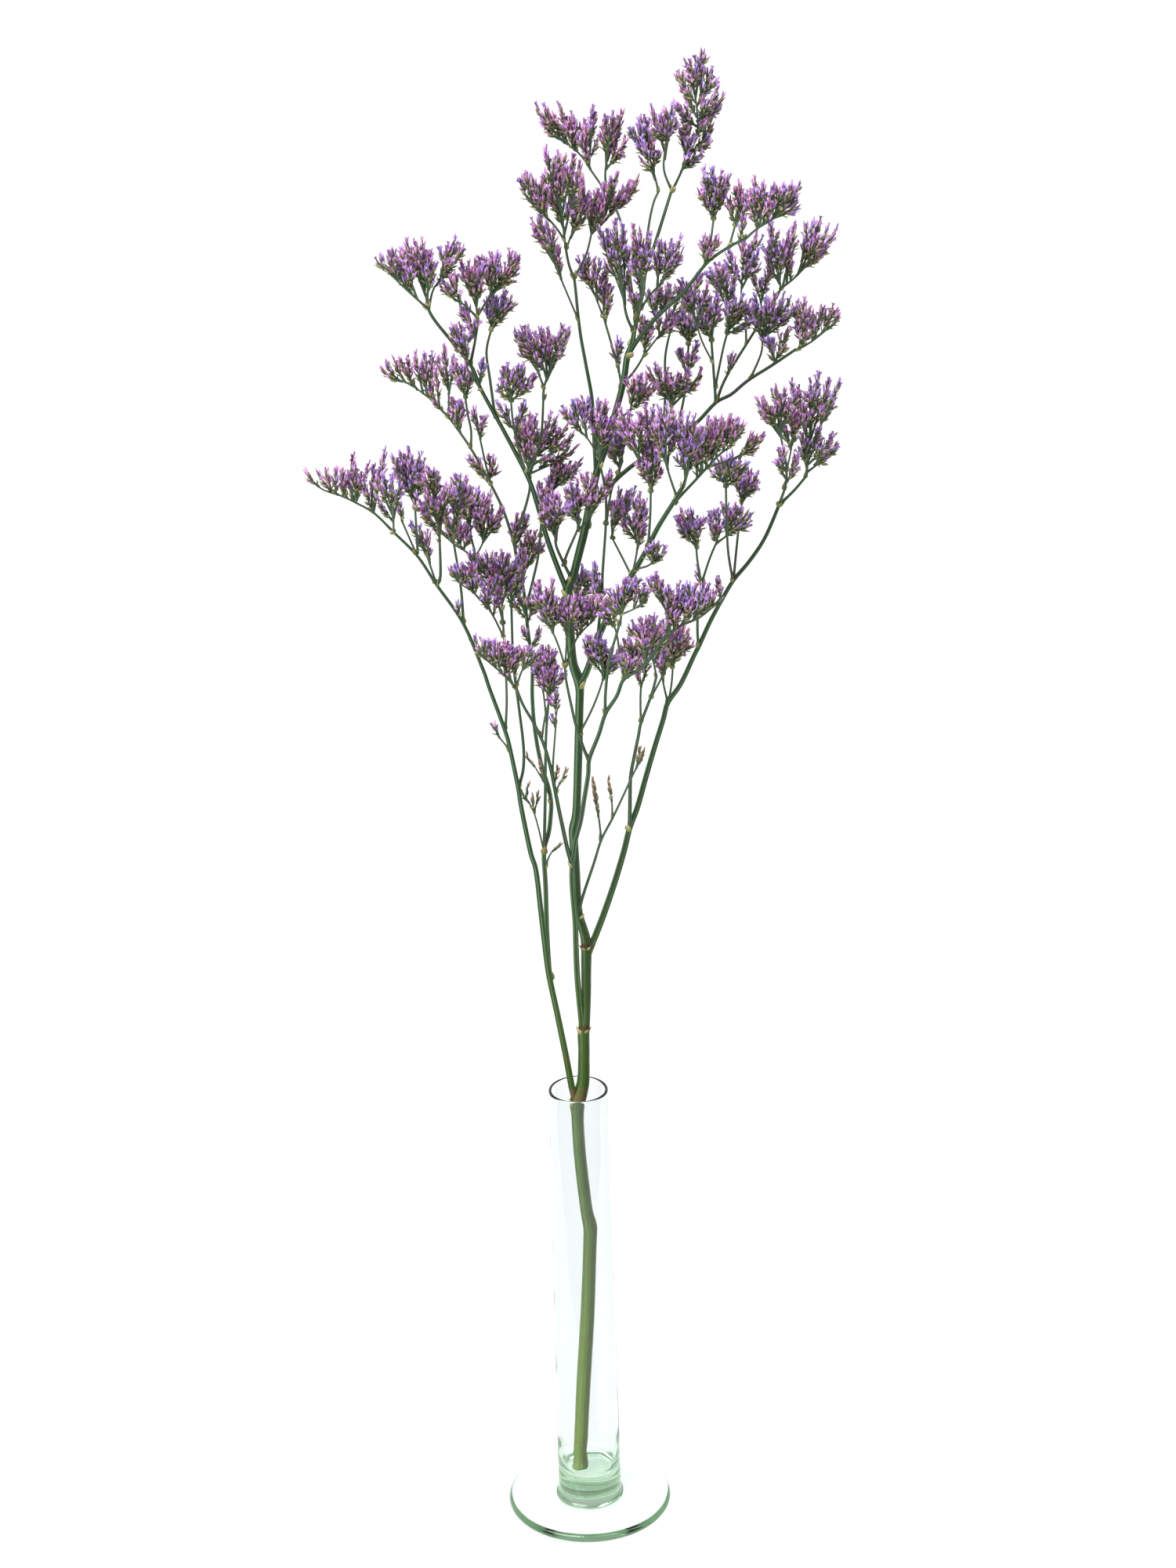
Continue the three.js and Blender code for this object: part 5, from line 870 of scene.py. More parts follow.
def lay_stem(thick, places, grown):
    marks = [0]
    for (ax, ay, *_), (bx, by, *_) in zip(places, places[1:]):
        marks.append(marks[-1] + math.hypot(bx - ax, by - ay))
    backs = [place[2] if len(place) > 2 else None for place in places]
    if backs[0] is None:
        backs[0] = root_on(grown, *places[0][:2])[0]
    if backs[-1] is None:
        backs[-1] = backs[0]
    backs = filled(backs, marks)
    girths = list(thick) if len(thick) == len(places) else [None] * len(places)
    girths[0], girths[-1] = thick[0], thick[-1]
    seen_at = [(place[0], place[1], back) for place, back in zip(places, backs)]
    return seen_at, [seen(*place) for place in seen_at], filled(girths, marks)


def lay_tuft(at, tips, grown):
    """The courses of a tuft's spikelets: where each starts, is widest and ends."""
    back, root, below, _ = root_on(grown, *at)
    acrosses = [across for across, _ in tips]
    middle = (min(acrosses) + max(acrosses)) / 2
    depth = min(TUFT_DEPTH, 1.5 + 0.4 * (max(acrosses) - min(acrosses))) if len(tips) > 1 else 0
    room = min(0.7 * (root - below).length, TUFT_FOOT * (len(tips) - 1))
    down = (below - root).normalized()
    order = sorted(range(len(tips)), key=lambda i: abs(acrosses[i] - middle))
    courses = []
    for i, (across, up) in enumerate(tips):
        tip = seen(across, up, back + depth * math.sin(GOLDEN_ANGLE * i + at[1]))
        start = root + down * (room * order.index(i) / (len(tips) - 1) if len(tips) > 1 else 0)
        courses.append(course(start, tip))
    return courses


def course(start, tip):
    reach = tip - start
    lean = (reach.normalized() * 0.75 + Vector((0, 0, 0.35))).normalized()
    length = min(SPIKELET_LENGTH, 0.92 * reach.length)
    return start, tip - lean * length * (1 - WIDEST_PART), tip


# Plain meshes that carry the courses, for the node trees to work on

def thread_mesh(name, courses, values):
    """Open chains of points, with one number for each point under each name."""
    mesh = bpy.data.meshes.new(name)
    points = [point * MM for chain in courses for point in chain]
    edges = []
    first = 0
    for chain in courses:
        edges += [(first + i, first + i + 1) for i in range(len(chain) - 1)]
        first += len(chain)
    mesh.from_pydata(points, edges, [])
    for key, numbers in values.items():
        mesh.attributes.new(key, "FLOAT", "POINT").data.foreach_set("value", numbers)
    return mesh


def place_mesh(name, places, values):
    """Loose points, with numbers or directions for each point under each name."""
    mesh = bpy.data.meshes.new(name)
    mesh.from_pydata([place * MM for place in places], [], [])
    for key, numbers in values.items():
        if isinstance(numbers[0], Vector):
            flat = [x for vector in numbers for x in vector]
            mesh.attributes.new(key, "FLOAT_VECTOR", "POINT").data.foreach_set("vector", flat)
        else:
            mesh.attributes.new(key, "FLOAT", "POINT").data.foreach_set("value", numbers)
    return mesh


def new_tree(name, sizes):
    """A geometry tree with named inputs, and the values that lead from them."""
    tree = bpy.data.node_groups.new(name, "GeometryNodeTree")
    tree.interface.new_socket("Geometry", in_out="INPUT", socket_type="NodeSocketGeometry")
    tree.interface.new_socket("Geometry", in_out="OUTPUT", socket_type="NodeSocketGeometry")
    for key, (kind, usual) in sizes.items():
        socket = tree.interface.new_socket(key, in_out="INPUT", socket_type="NodeSocket" + kind)
        if usual is not None:
            socket.default_value = usual
    given = add(tree, "NodeGroupInput")
    values = {socket.name: Value(tree, socket) for socket in given.socket.node.outputs if socket.name}
    return tree, values


def close_tree(tree, geometry):
    tree.nodes.new("NodeGroupOutput")
    output = next(node for node in tree.nodes if node.bl_idname == "NodeGroupOutput")
    tree.links.new(geometry.socket, output.inputs[0])


def grown_mesh(name, host, tree, inputs):
    """What the tree makes of the host mesh, as a plain mesh."""
    holder = bpy.data.objects.new(name + "_host", host)
    bpy.context.scene.collection.objects.link(holder)
    modifier = holder.modifiers.new("grow", "NODES")
    modifier.node_group = tree
    for item in tree.interface.items_tree:
        if item.in_out == "INPUT" and item.name in inputs:
            modifier[item.identifier] = inputs[item.name]
    bpy.context.view_layer.update()
    evaluated = holder.evaluated_get(bpy.context.evaluated_depsgraph_get())
    mesh = bpy.data.meshes.new_from_object(evaluated)
    mesh.name = name
    bpy.data.objects.remove(holder)
    bpy.data.meshes.remove(host)
    return mesh


def named(tree, name, kind="FLOAT"):
    return add(tree, "GeometryNodeInputNamedAttribute", {"data_type": kind}, {"Name": name}, "Attribute")


def store(tree, geometry, name, value, domain="POINT", kind="FLOAT"):
    return add(tree, "GeometryNodeStoreNamedAttribute", {"data_type": kind, "domain": domain},
               {"Geometry": geometry, "Name": name, "Value": value}, "Geometry")


def random_between(tree, low, high, seed):
    return add(tree, "FunctionNodeRandomValue", {"data_type": "FLOAT"}, {2: low, 3: high, "Seed": seed}, 1)


def smooth_courses(tree, chains):
    curves = add(tree, "GeometryNodeMeshToCurve", {}, {"Mesh": chains})
    return add(tree, "GeometryNodeCurveSplineType", {"spline_type": "CATMULL_ROM"}, {"Curve": curves})


def solid_in(tree, geometry, material):
    """The last two steps of a tree: every copy becomes plain mesh and takes its material."""
    solid = add(tree, "GeometryNodeRealizeInstances", {}, {"Geometry": geometry})
    return add(tree, "GeometryNodeSetMaterial", {}, {"Geometry": solid, "Material": material})


def stalk_tree():
    """Ridged round stalks that taper, with a slight swelling where each one leaves its stem."""
    tree, given = new_tree("ridged_stalks", {
        "Step": ("Float", 0.0022), "Sides": ("Int", 12),
        "Ridges": ("Int", RIDGES), "Ridge Height": ("Float", 0.07),
        "Swelling": ("Float", 0.22), "Swollen Length": ("Float", 0.0025), "Material": ("Material", None),
    })
    curves = smooth_courses(tree, given["Geometry"])
    curves = add(tree, "GeometryNodeResampleCurve", {"mode": "LENGTH"},
                 {"Curve": curves, "Length": given["Step"]})
    length = add(tree, "GeometryNodeSplineParameter", output="Length")
    near_the_foot = 1 - length.between(0.0, given["Swollen Length"] * 2)
    girth = named(tree, "girth") * (1 + near_the_foot * given["Swelling"])
    ring = add(tree, "GeometryNodeCurvePrimitiveCircle", {"mode": "RADIUS"},
               {"Resolution": given["Sides"], "Radius": 1.0})
    turn = add(tree, "GeometryNodeSplineParameter", output="Factor")
    ridge = (turn * given["Ridges"] * math.tau).cosine() * given["Ridge Height"]
    spot = add(tree, "GeometryNodeInputPosition")
    ring = store(tree, ring, "around", turn)
    ring = add(tree, "GeometryNodeSetPosition", {}, {"Geometry": ring, "Position": spot * (1 + ridge)})
    skin = add(tree, "GeometryNodeCurveToMesh", {},
               {"Curve": curves, "Profile Curve": ring, "Scale": girth * 0.5, "Fill Caps": True})
    skin = add(tree, "GeometryNodeSetShadeSmooth", {}, {"Geometry": skin, "Shade Smooth": True})
    close_tree(tree, solid_in(tree, skin, given["Material"]))
    return tree


def spikelet_tree():
    """Florets and bracts set spirally round the upper part of each course."""
    tree, given = new_tree("spikelets", {
        "Spacing": ("Float", 0.0009), "Flowering Share": ("Float", 0.92),
        "Longest Flowering": ("Float", 0.0145), "Bare Tip": ("Float", 0.0022),
        "Lean At Foot": ("Float", 0.5), "Lean At Tip": ("Float", 0.14), "Offset": ("Float", 0.0002),
        "Bare Foot": ("Float", 0.15), "Seed": ("Int", 4),
        "Floret Shapes": ("Collection", None), "Bract Shapes": ("Collection", None),
        "Floret Material": ("Material", None), "Bract Material": ("Material", None),
    })
    curves = smooth_courses(tree, given["Geometry"])
    whole = add(tree, "GeometryNodeSplineLength", output="Length")
    flowering = (whole * given["Flowering Share"]).least(given["Longest Flowering"])
    curves = add(tree, "GeometryNodeTrimCurve", {"mode": "LENGTH"},
                 {"Curve": curves, 4: whole - flowering, 5: whole - given["Bare Tip"]})
    curves = add(tree, "GeometryNodeResampleCurve", {"mode": "COUNT"}, {"Curve": curves, "Count": 8})
    curves = store(tree, curves, "share", add(tree, "GeometryNodeSplineParameter", output="Factor"))
    points = add(tree, "GeometryNodeCurveToPoints", {"mode": "LENGTH"},
                 {"Curve": curves, "Length": given["Spacing"]})
    tangent, normal = points.also("Tangent"), points.also("Normal")
    index = add(tree, "GeometryNodeInputIndex")
    share = named(tree, "share")
    seed = given["Seed"]
    spin = index * GOLDEN_ANGLE + random_between(tree, -0.3, 0.3, seed)
    outward = add(tree, "ShaderNodeVectorRotate", {"rotation_type": "AXIS_ANGLE"},
                  {"Vector": normal, "Axis": tangent, "Angle": spin})
    lean = given["Lean At Foot"] + share * (given["Lean At Tip"] - given["Lean At Foot"])
    lean = lean + random_between(tree, -0.13, 0.13, seed + 1)
    size = (1.0 - share.power(3.0) * 0.22) * random_between(tree, 0.84, 1.16, seed + 2)
    upward = add(tree, "ShaderNodeVectorMath", {"operation": "DOT_PRODUCT"},
                 {0: outward, 1: (0, 0, 1)}, "Value")
    parts = []
    kinds = (
        ("Floret Shapes", "Floret Material", 0.0, 1.0, (share > given["Bare Foot"]) * (upward > -0.28)),
        ("Bract Shapes", "Bract Material", -0.1, 1.12, (1.0 - share) > 0.08),
    )
    for shapes, material, wider, scale, chosen_places in kinds:
        angle = lean + wider
        direction = tangent * angle.cosine() + outward * angle.sine()
        spot = add(tree, "GeometryNodeInputPosition")
        moved = add(tree, "GeometryNodeSetPosition", {},
                    {"Geometry": points, "Position": spot + outward * given["Offset"]})
        upright = add(tree, "FunctionNodeAlignRotationToVector", {"axis": "Z"}, {"Vector": direction})
        turned = add(tree, "FunctionNodeAlignRotationToVector", {"axis": "X", "pivot_axis": "Z"},
                     {"Rotation": upright, "Vector": outward})
        shape = add(tree, "GeometryNodeCollectionInfo", {},
                    {"Collection": given[shapes], "Separate Children": True, "Reset Children": True})
        chosen = random_between(tree, 0.0, 5.99, seed + 3)
        set_out = add(tree, "GeometryNodeInstanceOnPoints", {}, {
            "Points": moved, "Selection": chosen_places, "Instance": shape, "Pick Instance": True,
            "Instance Index": chosen, "Rotation": turned, "Scale": size * scale,
        })
        tone = named(tree, "tone") + random_between(tree, -0.22, 0.22, seed + 4)
        set_out = store(tree, set_out, "tone", tone, "INSTANCE")
        set_out = store(tree, set_out, "glow", random_between(tree, 0.0, 1.0, seed + 5), "INSTANCE")
        parts.append(solid_in(tree, set_out, given[material]))
    close_tree(tree, add(tree, "GeometryNodeJoinGeometry", {}, {"Geometry": parts}))
    return tree


# Small shapes, repeated by the thousand

def skinned(name, rings, collection):
    """A closed shape through rings of equal count. A ring of one point is a pole."""
    points, faces, firsts = [], [], []
    for ring in rings:
        firsts.append(len(points))
        points += ring
    for (a, lower), (b, upper) in zip(zip(firsts, rings), zip(firsts[1:], rings[1:])):
        count = max(len(lower), len(upper))
        for i in range(count):
            j = (i + 1) % count
            if len(lower) == 1:
                faces.append((a, b + j, b + i))
            elif len(upper) == 1:
                faces.append((a + i, a + j, b))
            else:
                faces += [(a + i, a + j, b + j), (a + i, b + j, b + i)]
    mesh = bpy.data.meshes.new(name)
    mesh.from_pydata([Vector(point) * MM for point in points], [], faces)
    top = max(z for _, _, z in points)
    rise = [max(0.0, z / top) for _, _, z in points]
    mesh.attributes.new("rise", "FLOAT", "POINT").data.foreach_set("value", rise)
    mesh.shade_smooth()
    collection.objects.link(bpy.data.objects.new(name, mesh))


def toothed(count, height, radius, drop=0.0, draw_in=1.0):
    """A ring whose every second point lies lower and further in, so that lobes stand up between."""
    ring = []
    for i in range(count):
        low = i % 2
        reach = radius * (draw_in if low else 1)
        angle = math.tau * i / count
        ring.append((reach * math.cos(angle), reach * math.sin(angle), height - drop * low))
    return ring


def pole(height, aside=0.0):
    return [(aside, 0, height)]


def shapes_of(name, *rows):
    """A collection of small shapes, each given by its rings from foot to tip."""
    collection = bpy.data.collections.new(name + "_shapes")
    for letter, rings in zip("abcdef", rows):
        skinned(name + "_" + letter, rings, collection)
    return collection


# Two half-open tubes, a closed one, a longer one, a short closed one, and one with its lobes spread
floret_shapes = shapes_of(
    "floret",
    [pole(0), toothed(8, 1.9, 0.36), toothed(8, 4.4, 0.6, 1.0, 0.7), pole(2.6)],
    [pole(0), toothed(8, 1.7, 0.42), toothed(8, 4.0, 0.72, 0.9, 0.68), pole(2.3)],
    [pole(0), toothed(5, 1.7, 0.44), toothed(5, 3.2, 0.36), pole(4.8)],
    [pole(0), toothed(6, 2.2, 0.36), toothed(6, 4.9, 0.54, 1.3, 0.62), pole(3.1)],
    [pole(0), toothed(5, 1.4, 0.42), toothed(5, 2.8, 0.38), pole(4.3)],
    [pole(0), toothed(10, 2.6, 0.38), toothed(10, 3.8, 0.62, 0.1, 0.85),
     toothed(10, 4.4, 1.35, 0.35, 0.55), pole(3.1)],
)
bud_shapes = shapes_of(
    "bud",
    [pole(0), toothed(5, 1.3, 0.55), toothed(5, 2.8, 0.4), pole(4.4)],
    [pole(0), toothed(5, 1.1, 0.45), toothed(5, 2.3, 0.4), pole(3.6)],
)


def scale_ring(height, outward, width, thin):
    """Four points across a scale: its outer ridge, one edge, its hollow side and the other edge."""
    edge = outward - thin
    hollow = outward - thin * 1.3
    return [(outward, 0, height), (edge, width, height), (hollow, 0, height), (edge, -width, height)]


bract_shapes = shapes_of(
    "bract",
    [pole(0), scale_ring(0.9, 0.5, 0.62, 0.3), scale_ring(2.0, 0.62, 0.5, 0.26), pole(3.0, 0.6)],
    [pole(0), scale_ring(0.8, 0.45, 0.75, 0.3), scale_ring(1.6, 0.6, 0.6, 0.26), pole(2.4, 0.7)],
)
scale_shapes = shapes_of(
    "scale",
    [pole(-0.3), scale_ring(0.25, 0.34, 0.5, 0.3), scale_ring(0.8, 0.5, 0.42, 0.22), pole(1.5, 0.62)],
    [pole(-0.3), scale_ring(0.2, 0.32, 0.55, 0.3), scale_ring(0.6, 0.44, 0.5, 0.22), pole(1.1, 0.6)],
)


def scale_tree():
    """Papery scales that clasp the stem under each fork."""
    tree, given = new_tree("clasping_scales", {
        "Seed": ("Int", 11), "Scale Shapes": ("Collection", None), "Material": ("Material", None),
    })
    upright = add(tree, "FunctionNodeAlignRotationToVector", {"axis": "Z"},
                  {"Vector": named(tree, "upward", "FLOAT_VECTOR")})
    turned = add(tree, "FunctionNodeAlignRotationToVector", {"axis": "X", "pivot_axis": "Z"},
                 {"Rotation": upright, "Vector": named(tree, "outward", "FLOAT_VECTOR")})
    shape = add(tree, "GeometryNodeCollectionInfo", {},
                {"Collection": given["Scale Shapes"], "Separate Children": True, "Reset Children": True})
    points = add(tree, "GeometryNodeMeshToPoints", {}, {"Mesh": given["Geometry"]})
    chosen = random_between(tree, 0.0, 1.99, given["Seed"])
    set_out = add(tree, "GeometryNodeInstanceOnPoints", {}, {
        "Points": points, "Instance": shape, "Pick Instance": True, "Instance Index": chosen,
        "Rotation": turned, "Scale": named(tree, "size"),
    })
    set_out = store(tree, set_out, "glow", random_between(tree, 0.0, 1.0, given["Seed"] + 1), "INSTANCE")
    close_tree(tree, solid_in(tree, set_out, given["Material"]))
    return tree


# Finishes

# How high, in metres, the two ring scars and the torn skin of the fork at the rim lie
RING_SCARS_AT = (0.2385, 0.2785)
TORN_FORK_AT = 0.2055


def stem_paint(tree):
    around = attribute(tree, "around")
    girth = attribute(tree, "girth")
    where = add(tree, "ShaderNodeTexCoord", output="Object")
    height = add(tree, "ShaderNodeSeparateXYZ", {}, {"Vector": where}, "Z")
    thick = girth.between(0.0009, 0.0032)
    cloud = noise(tree, 90.0, 3.0)
    highlight_breakup = noise(tree, 1400.0, 2.0)
    green = mixed(thick, srgb(42, 74, 50), srgb(56, 87, 42))
    green = mixed(cloud.between(0.35, 0.7), green, srgb(50, 88, 54))
    green = mixed(1 - girth.between(0.0006, 0.0015), green, srgb(98, 118, 92))
    ridge = (around * (RIDGES * math.tau)).cosine() * 0.5 + 0.5
    # The ridges are real; the darker grooves between them are painted shade, and the lighter ridge tops,
    # broken up by fine noise, are a painted highlight.
    green = mixed((1 - ridge).power(2.0) * 0.5, green, srgb(18, 38, 18))
    green = mixed(ridge.power(3.0) * (0.2 + highlight_breakup * 0.6), green, srgb(138, 166, 132))
    # Inside the vase the stem is olive, its own colour in the water, made darker as painted shade for the
    # light the glass holds back.
    olive_with_painted_shade = mixed(cloud, srgb(46, 75, 8), srgb(78, 102, 18))
    green = mixed((1 - height.between(0.18, 0.34)) * 0.75, green, olive_with_painted_shade)
    green = mixed((1 - height.between(0.02, 0.17)) * 0.36, green, srgb(116, 142, 10))
    blush = noise(tree, 35.0).between(0.5, 0.72) * (1 - thick)
    green = mixed(blush * 0.5, green, srgb(88, 64, 66))
    stout = girth.between(0.0036, 0.0044)
    for scar in RING_SCARS_AT:
        off = (height - scar) * 900
        green = mixed((1 - (off * off).between(0.3, 1.5)) * stout * 0.85, green, srgb(84, 52, 34))
    off = (height - TORN_FORK_AT) * 240
    torn = noise(tree, 300.0, 3.0).between(0.42, 0.56)
    green = mixed((1 - (off * off).between(0.2, 1.2)) * torn * 0.6, green, srgb(120, 88, 66))
    spots = noise(tree, 420.0, 3.0).between(0.6, 0.72) * (1 - height.between(0.2, 0.36, 0.0, 0.75))
    return mixed(spots * 0.6, green, srgb(104, 70, 40))


def stem_relief(tree):
    around = attribute(tree, "around")
    fine = (around * (FINE_RIDGES * math.tau)).cosine() * 0.3
    return fine + noise(tree, 900.0, 2.0)


def floret_paint(tree):
    tone = attribute(tree, "tone")
    rise = attribute(tree, "rise")
    glow = attribute(tree, "glow")
    violet = add(tree, "ShaderNodeValToRGB", {"stops": [
        (0.0, srgb(158, 148, 255)), (0.25, srgb(180, 142, 248)), (0.5, srgb(208, 138, 230)),
        (0.75, srgb(230, 144, 210)), (0.92, srgb(196, 106, 156)), (1.0, srgb(146, 82, 112)),
    ]}, {"Fac": tone}, "Color")
    pale = mixed(glow, srgb(224, 202, 246), srgb(252, 220, 238))
    violet = mixed(rise.between(0.6, 1.0) * (0.2 + glow * 0.8), violet, pale)
    violet = mixed((1 - glow).power(1.7) * 0.85, violet, srgb(96, 42, 90))
    green = mixed(glow, srgb(98, 84, 70), srgb(150, 126, 104))
    violet = mixed(1 - rise.between(0.15, 0.5), violet, green)
    brown = mixed(rise, mixed(glow, srgb(92, 94, 62), srgb(120, 112, 84)), srgb(164, 116, 108))
    return mixed(attribute(tree, "bud"), violet, brown)


def bract_paint(tree):
    rise = attribute(tree, "rise")
    glow = attribute(tree, "glow")
    green = mixed(glow, srgb(82, 102, 62), srgb(144, 154, 110))
    brown = mixed(glow, srgb(124, 84, 66), srgb(206, 172, 144))
    return mixed(rise.between(0.3, 0.9) * (0.35 + glow * 0.6), green, brown)


def scale_paint(tree):
    rise = attribute(tree, "rise")
    glow = attribute(tree, "glow")
    tan = mixed(glow, srgb(136, 104, 66), srgb(198, 182, 146))
    green = mixed(glow, srgb(98, 124, 62), srgb(146, 160, 92))
    return mixed(rise.between(0.1, 0.75), green, tan)


def waxy(tree):
    """Stems shine a little where the bloom on them is rubbed off."""
    return noise(tree, 240.0).between(0.32, 0.68, 0.42, 0.64)


def papery(tree):
    """The rim of a papery piece is smoother than its foot."""
    return attribute(tree, "rise").between(0.2, 1.0, 0.86, 0.62)


def creases(tree):
    """The fine crumple of a dry bract or floret."""
    return noise(tree, 2400.0, 3.0)


def blown(tree):
    """Slow waves in the skin of glass shaped by hand."""
    return noise(tree, 42.0, 1.0)


def papery_finish(name, paint):
    return finish_of(name, paint, papery, creases, CREASE_DEPTH, Specular_IOR_Level=0.25)


stem_finish = finish_of("ridged_green_stem", stem_paint, waxy, stem_relief, RIDGE_DEPTH,
                        Specular_IOR_Level=0.2)
floret_finish = papery_finish("papery_violet_floret", floret_paint)
bract_finish = papery_finish("green_brown_bract", bract_paint)
scale_finish = papery_finish("papery_tan_scale", scale_paint)


# The plant, piece by piece

chance = random.Random(19)
stalks_by_rule = stalk_tree()
spikelets_by_rule = spikelet_tree()
scales_by_rule = scale_tree()


def piece(name, mesh):
    made = bpy.data.objects.new(name, mesh)
    bpy.context.scene.collection.objects.link(made)
    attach(made, "root")
    return made


def joined(name, meshes):
    """Several meshes as one, each keeping its own finish and attributes."""
    if len(meshes) == 1:
        return meshes[0]
    parts = [bpy.data.objects.new(mesh.name, mesh) for mesh in meshes]
    for part in parts:
        bpy.context.scene.collection.objects.link(part)
    with bpy.context.temp_override(active_object=parts[0], selected_editable_objects=parts,
                                   selected_objects=parts):
        bpy.ops.object.join()
    mesh = parts[0].data
    mesh.name = name
    bpy.data.objects.remove(parts[0])
    return mesh


def is_branch(name):
    return name.endswith("_branch") or name in ("main_stem", "budded_twig")


laid = {}
groups = {}
for name, (parent, stems, tufts) in plant.items():
    carried_by = laid.get(parent, {"stems": []})["stems"]
    own = []
    roots = []
    for thick, places in stems:
        ground = own or carried_by
        if ground:
            roots.append((root_on(ground, *places[0][:2]), len(own)))
        own.append(lay_stem(thick, places, ground))
    courses = []
    for at, tips in tufts:
        courses += lay_tuft(at, tips, own or carried_by)
    laid[name] = {"stems": own, "roots": roots, "courses": courses}
    groups.setdefault(name if is_branch(name) else parent, []).append(name)


# Heads whose spikelets stand apart, so that no shorter ones fill the gaps
OPEN_HEADS = ("left_branch", "left_end_head", "second_left_end_comb")
# Where the main stem carries the ring scar of a fallen branch, as seen across and up
RING_SCARS = ((3.1, 240), (7.5, 280))
SCALES_ROUND = 6
# Spikelets whose tips are lower than this never opened
FLOWERS_FROM = 386
# How thick a spikelet's stalk is at its foot, where it is widest and at its tip
SPIKELET_GIRTHS = (0.95, 0.75, 0.3)
FLORET_SPACING = 0.00077
BUD_SPACING = 0.0012
# A spikelet bears one shorter one for each of these lengths that it passes, in millimetres
SHOOTS_ABOVE = (7, 11, 15, 19)
SHOOT_LENGTH = (6.0, 8.5)
SHOOT_SPREAD = (0.3, 0.45)
# The sizes of the papery scales under the forks
LARGEST_SCALE = 4.2
SMALLEST_SCALE = 1.4


def side_shoots(courses):
    """Shorter spikelets that leave the longer ones on all sides, more of them on a longer one."""
    more = []
    for start, _, tip in courses:
        reach = (tip - start).length
        count = sum(reach > mark for mark in SHOOTS_ABOVE)
        turn = chance.uniform(0, math.tau)
        for i in range(count):
            share = 0.15 + 0.45 * (i + chance.random()) / count
            foot = start.lerp(tip, share)
            ahead = (tip - start).normalized()
            aside = Vector((math.cos(turn), math.sin(turn), 0))
            aside = (aside - ahead * aside.dot(ahead)).normalized()
            turn += GOLDEN_ANGLE
            length = min(chance.uniform(*SHOOT_LENGTH), reach * (1 - share))
            way = (ahead + aside * chance.uniform(*SHOOT_SPREAD)).normalized()
            more.append(course(foot, foot + way * length))
    return more


for group, names in groups.items():
    chains, girths = [], []
    spots, upwards, outwards, sizes = [], [], [], []
    flowering, budding, tones = [], [], []
    for name in names:
        for _, points, thick in laid[name]["stems"]:
            chains.append(points)
            girths += thick
        for (_, at, below, carrier), i in laid[name]["roots"]:
            points, thick = laid[name]["stems"][i][1:]
            up = (at - below).normalized()
            way = (points[1] - points[0]).normalized()
            out = (way - up * way.dot(up)).normalized()
            spots.append(at + out * carrier * 0.36 - up * carrier * 0.3)
            upwards.append(up)
            outwards.append(out)
            sizes.append(min(LARGEST_SCALE, SMALLEST_SCALE + thick[0]))
        for across, up_at in RING_SCARS if name == "main_stem" else ():
            _, at, below, carrier = root_on(laid[name]["stems"], across, up_at)
            up = (at - below).normalized()
            for i in range(SCALES_ROUND):
                turn = i * math.tau / SCALES_ROUND
                out = Vector((math.cos(turn), math.sin(turn), 0))
                out = (out - up * up.dot(out)).normalized()
                spots.append(at + out * carrier * 0.42)
                upwards.append(up)
                outwards.append(out)
                sizes.append(0.42 * carrier)
        never_opens = name == "budded_twig"
        buds = [chain for chain in laid[name]["courses"] if never_opens or chain[2].z < FLOWERS_FROM]
        flowers = [chain for chain in laid[name]["courses"] if chain not in buds]
        budding += buds
        flowers += [] if name in OPEN_HEADS else side_shoots(flowers)
        flowering += flowers
        head_tone = chance.uniform(0.28, 0.62)
        tones += [head_tone + chance.uniform(-0.2, 0.2) for _ in flowers]
    for chain in flowering + budding:
        chains.append(chain)
        girths += SPIKELET_GIRTHS
    host = thread_mesh(group + "_courses", chains, {"girth": [girth * MM for girth in girths]})
    meshes = [grown_mesh(group + "_stalks", host, stalks_by_rule, {"Material": stem_finish})]
    if spots:
        host = place_mesh(group + "_forks", spots, {"upward": upwards, "outward": outwards, "size": sizes})
        meshes.append(grown_mesh(group + "_scales", host, scales_by_rule,
                                 {"Scale Shapes": scale_shapes, "Material": scale_finish}))
    stalks = piece(group + "_stalks", joined(group + "_stalks", meshes))
    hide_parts(*names)

    meshes = []
    for courses, shapes, bud in ((flowering, floret_shapes, 0.0), (budding, bud_shapes, 1.0)):
        if not courses:
            continue
        tone = [tones[i] if courses is flowering else 0.5 for i, chain in enumerate(courses) for _ in chain]
        host = thread_mesh(group + "_spikelets", courses, {"tone": tone, "bud": [bud] * len(tone)})
        meshes.append(grown_mesh(group + "_flowers", host, spikelets_by_rule, {
            "Floret Shapes": shapes, "Bract Shapes": bract_shapes, "Floret Material": floret_finish,
            "Bract Material": bract_finish, "Spacing": BUD_SPACING if bud else FLORET_SPACING,
            "Lean At Foot": 0.2 if bud else 0.52,
        }))
    if meshes:
        piece(group + "_flowers", joined(group + "_flowers", meshes))

for shapes in (floret_shapes, bud_shapes, bract_shapes, scale_shapes):
    for shape in list(shapes.objects):
        bpy.data.objects.remove(shape)
    bpy.data.collections.remove(shapes)


# The vase

RIM_HEIGHT = 212
RIM_RADIUS = 13.0
TUBE_RADIUS = 14.1
GLASS = 1.3
FLOOR_HEIGHT = 17.2
FOOT_RADIUS = 37
ROUND = 96
RIM_STEPS = 12
# How strongly a metre of the glass takes up light
ABSORPTION = 34.0


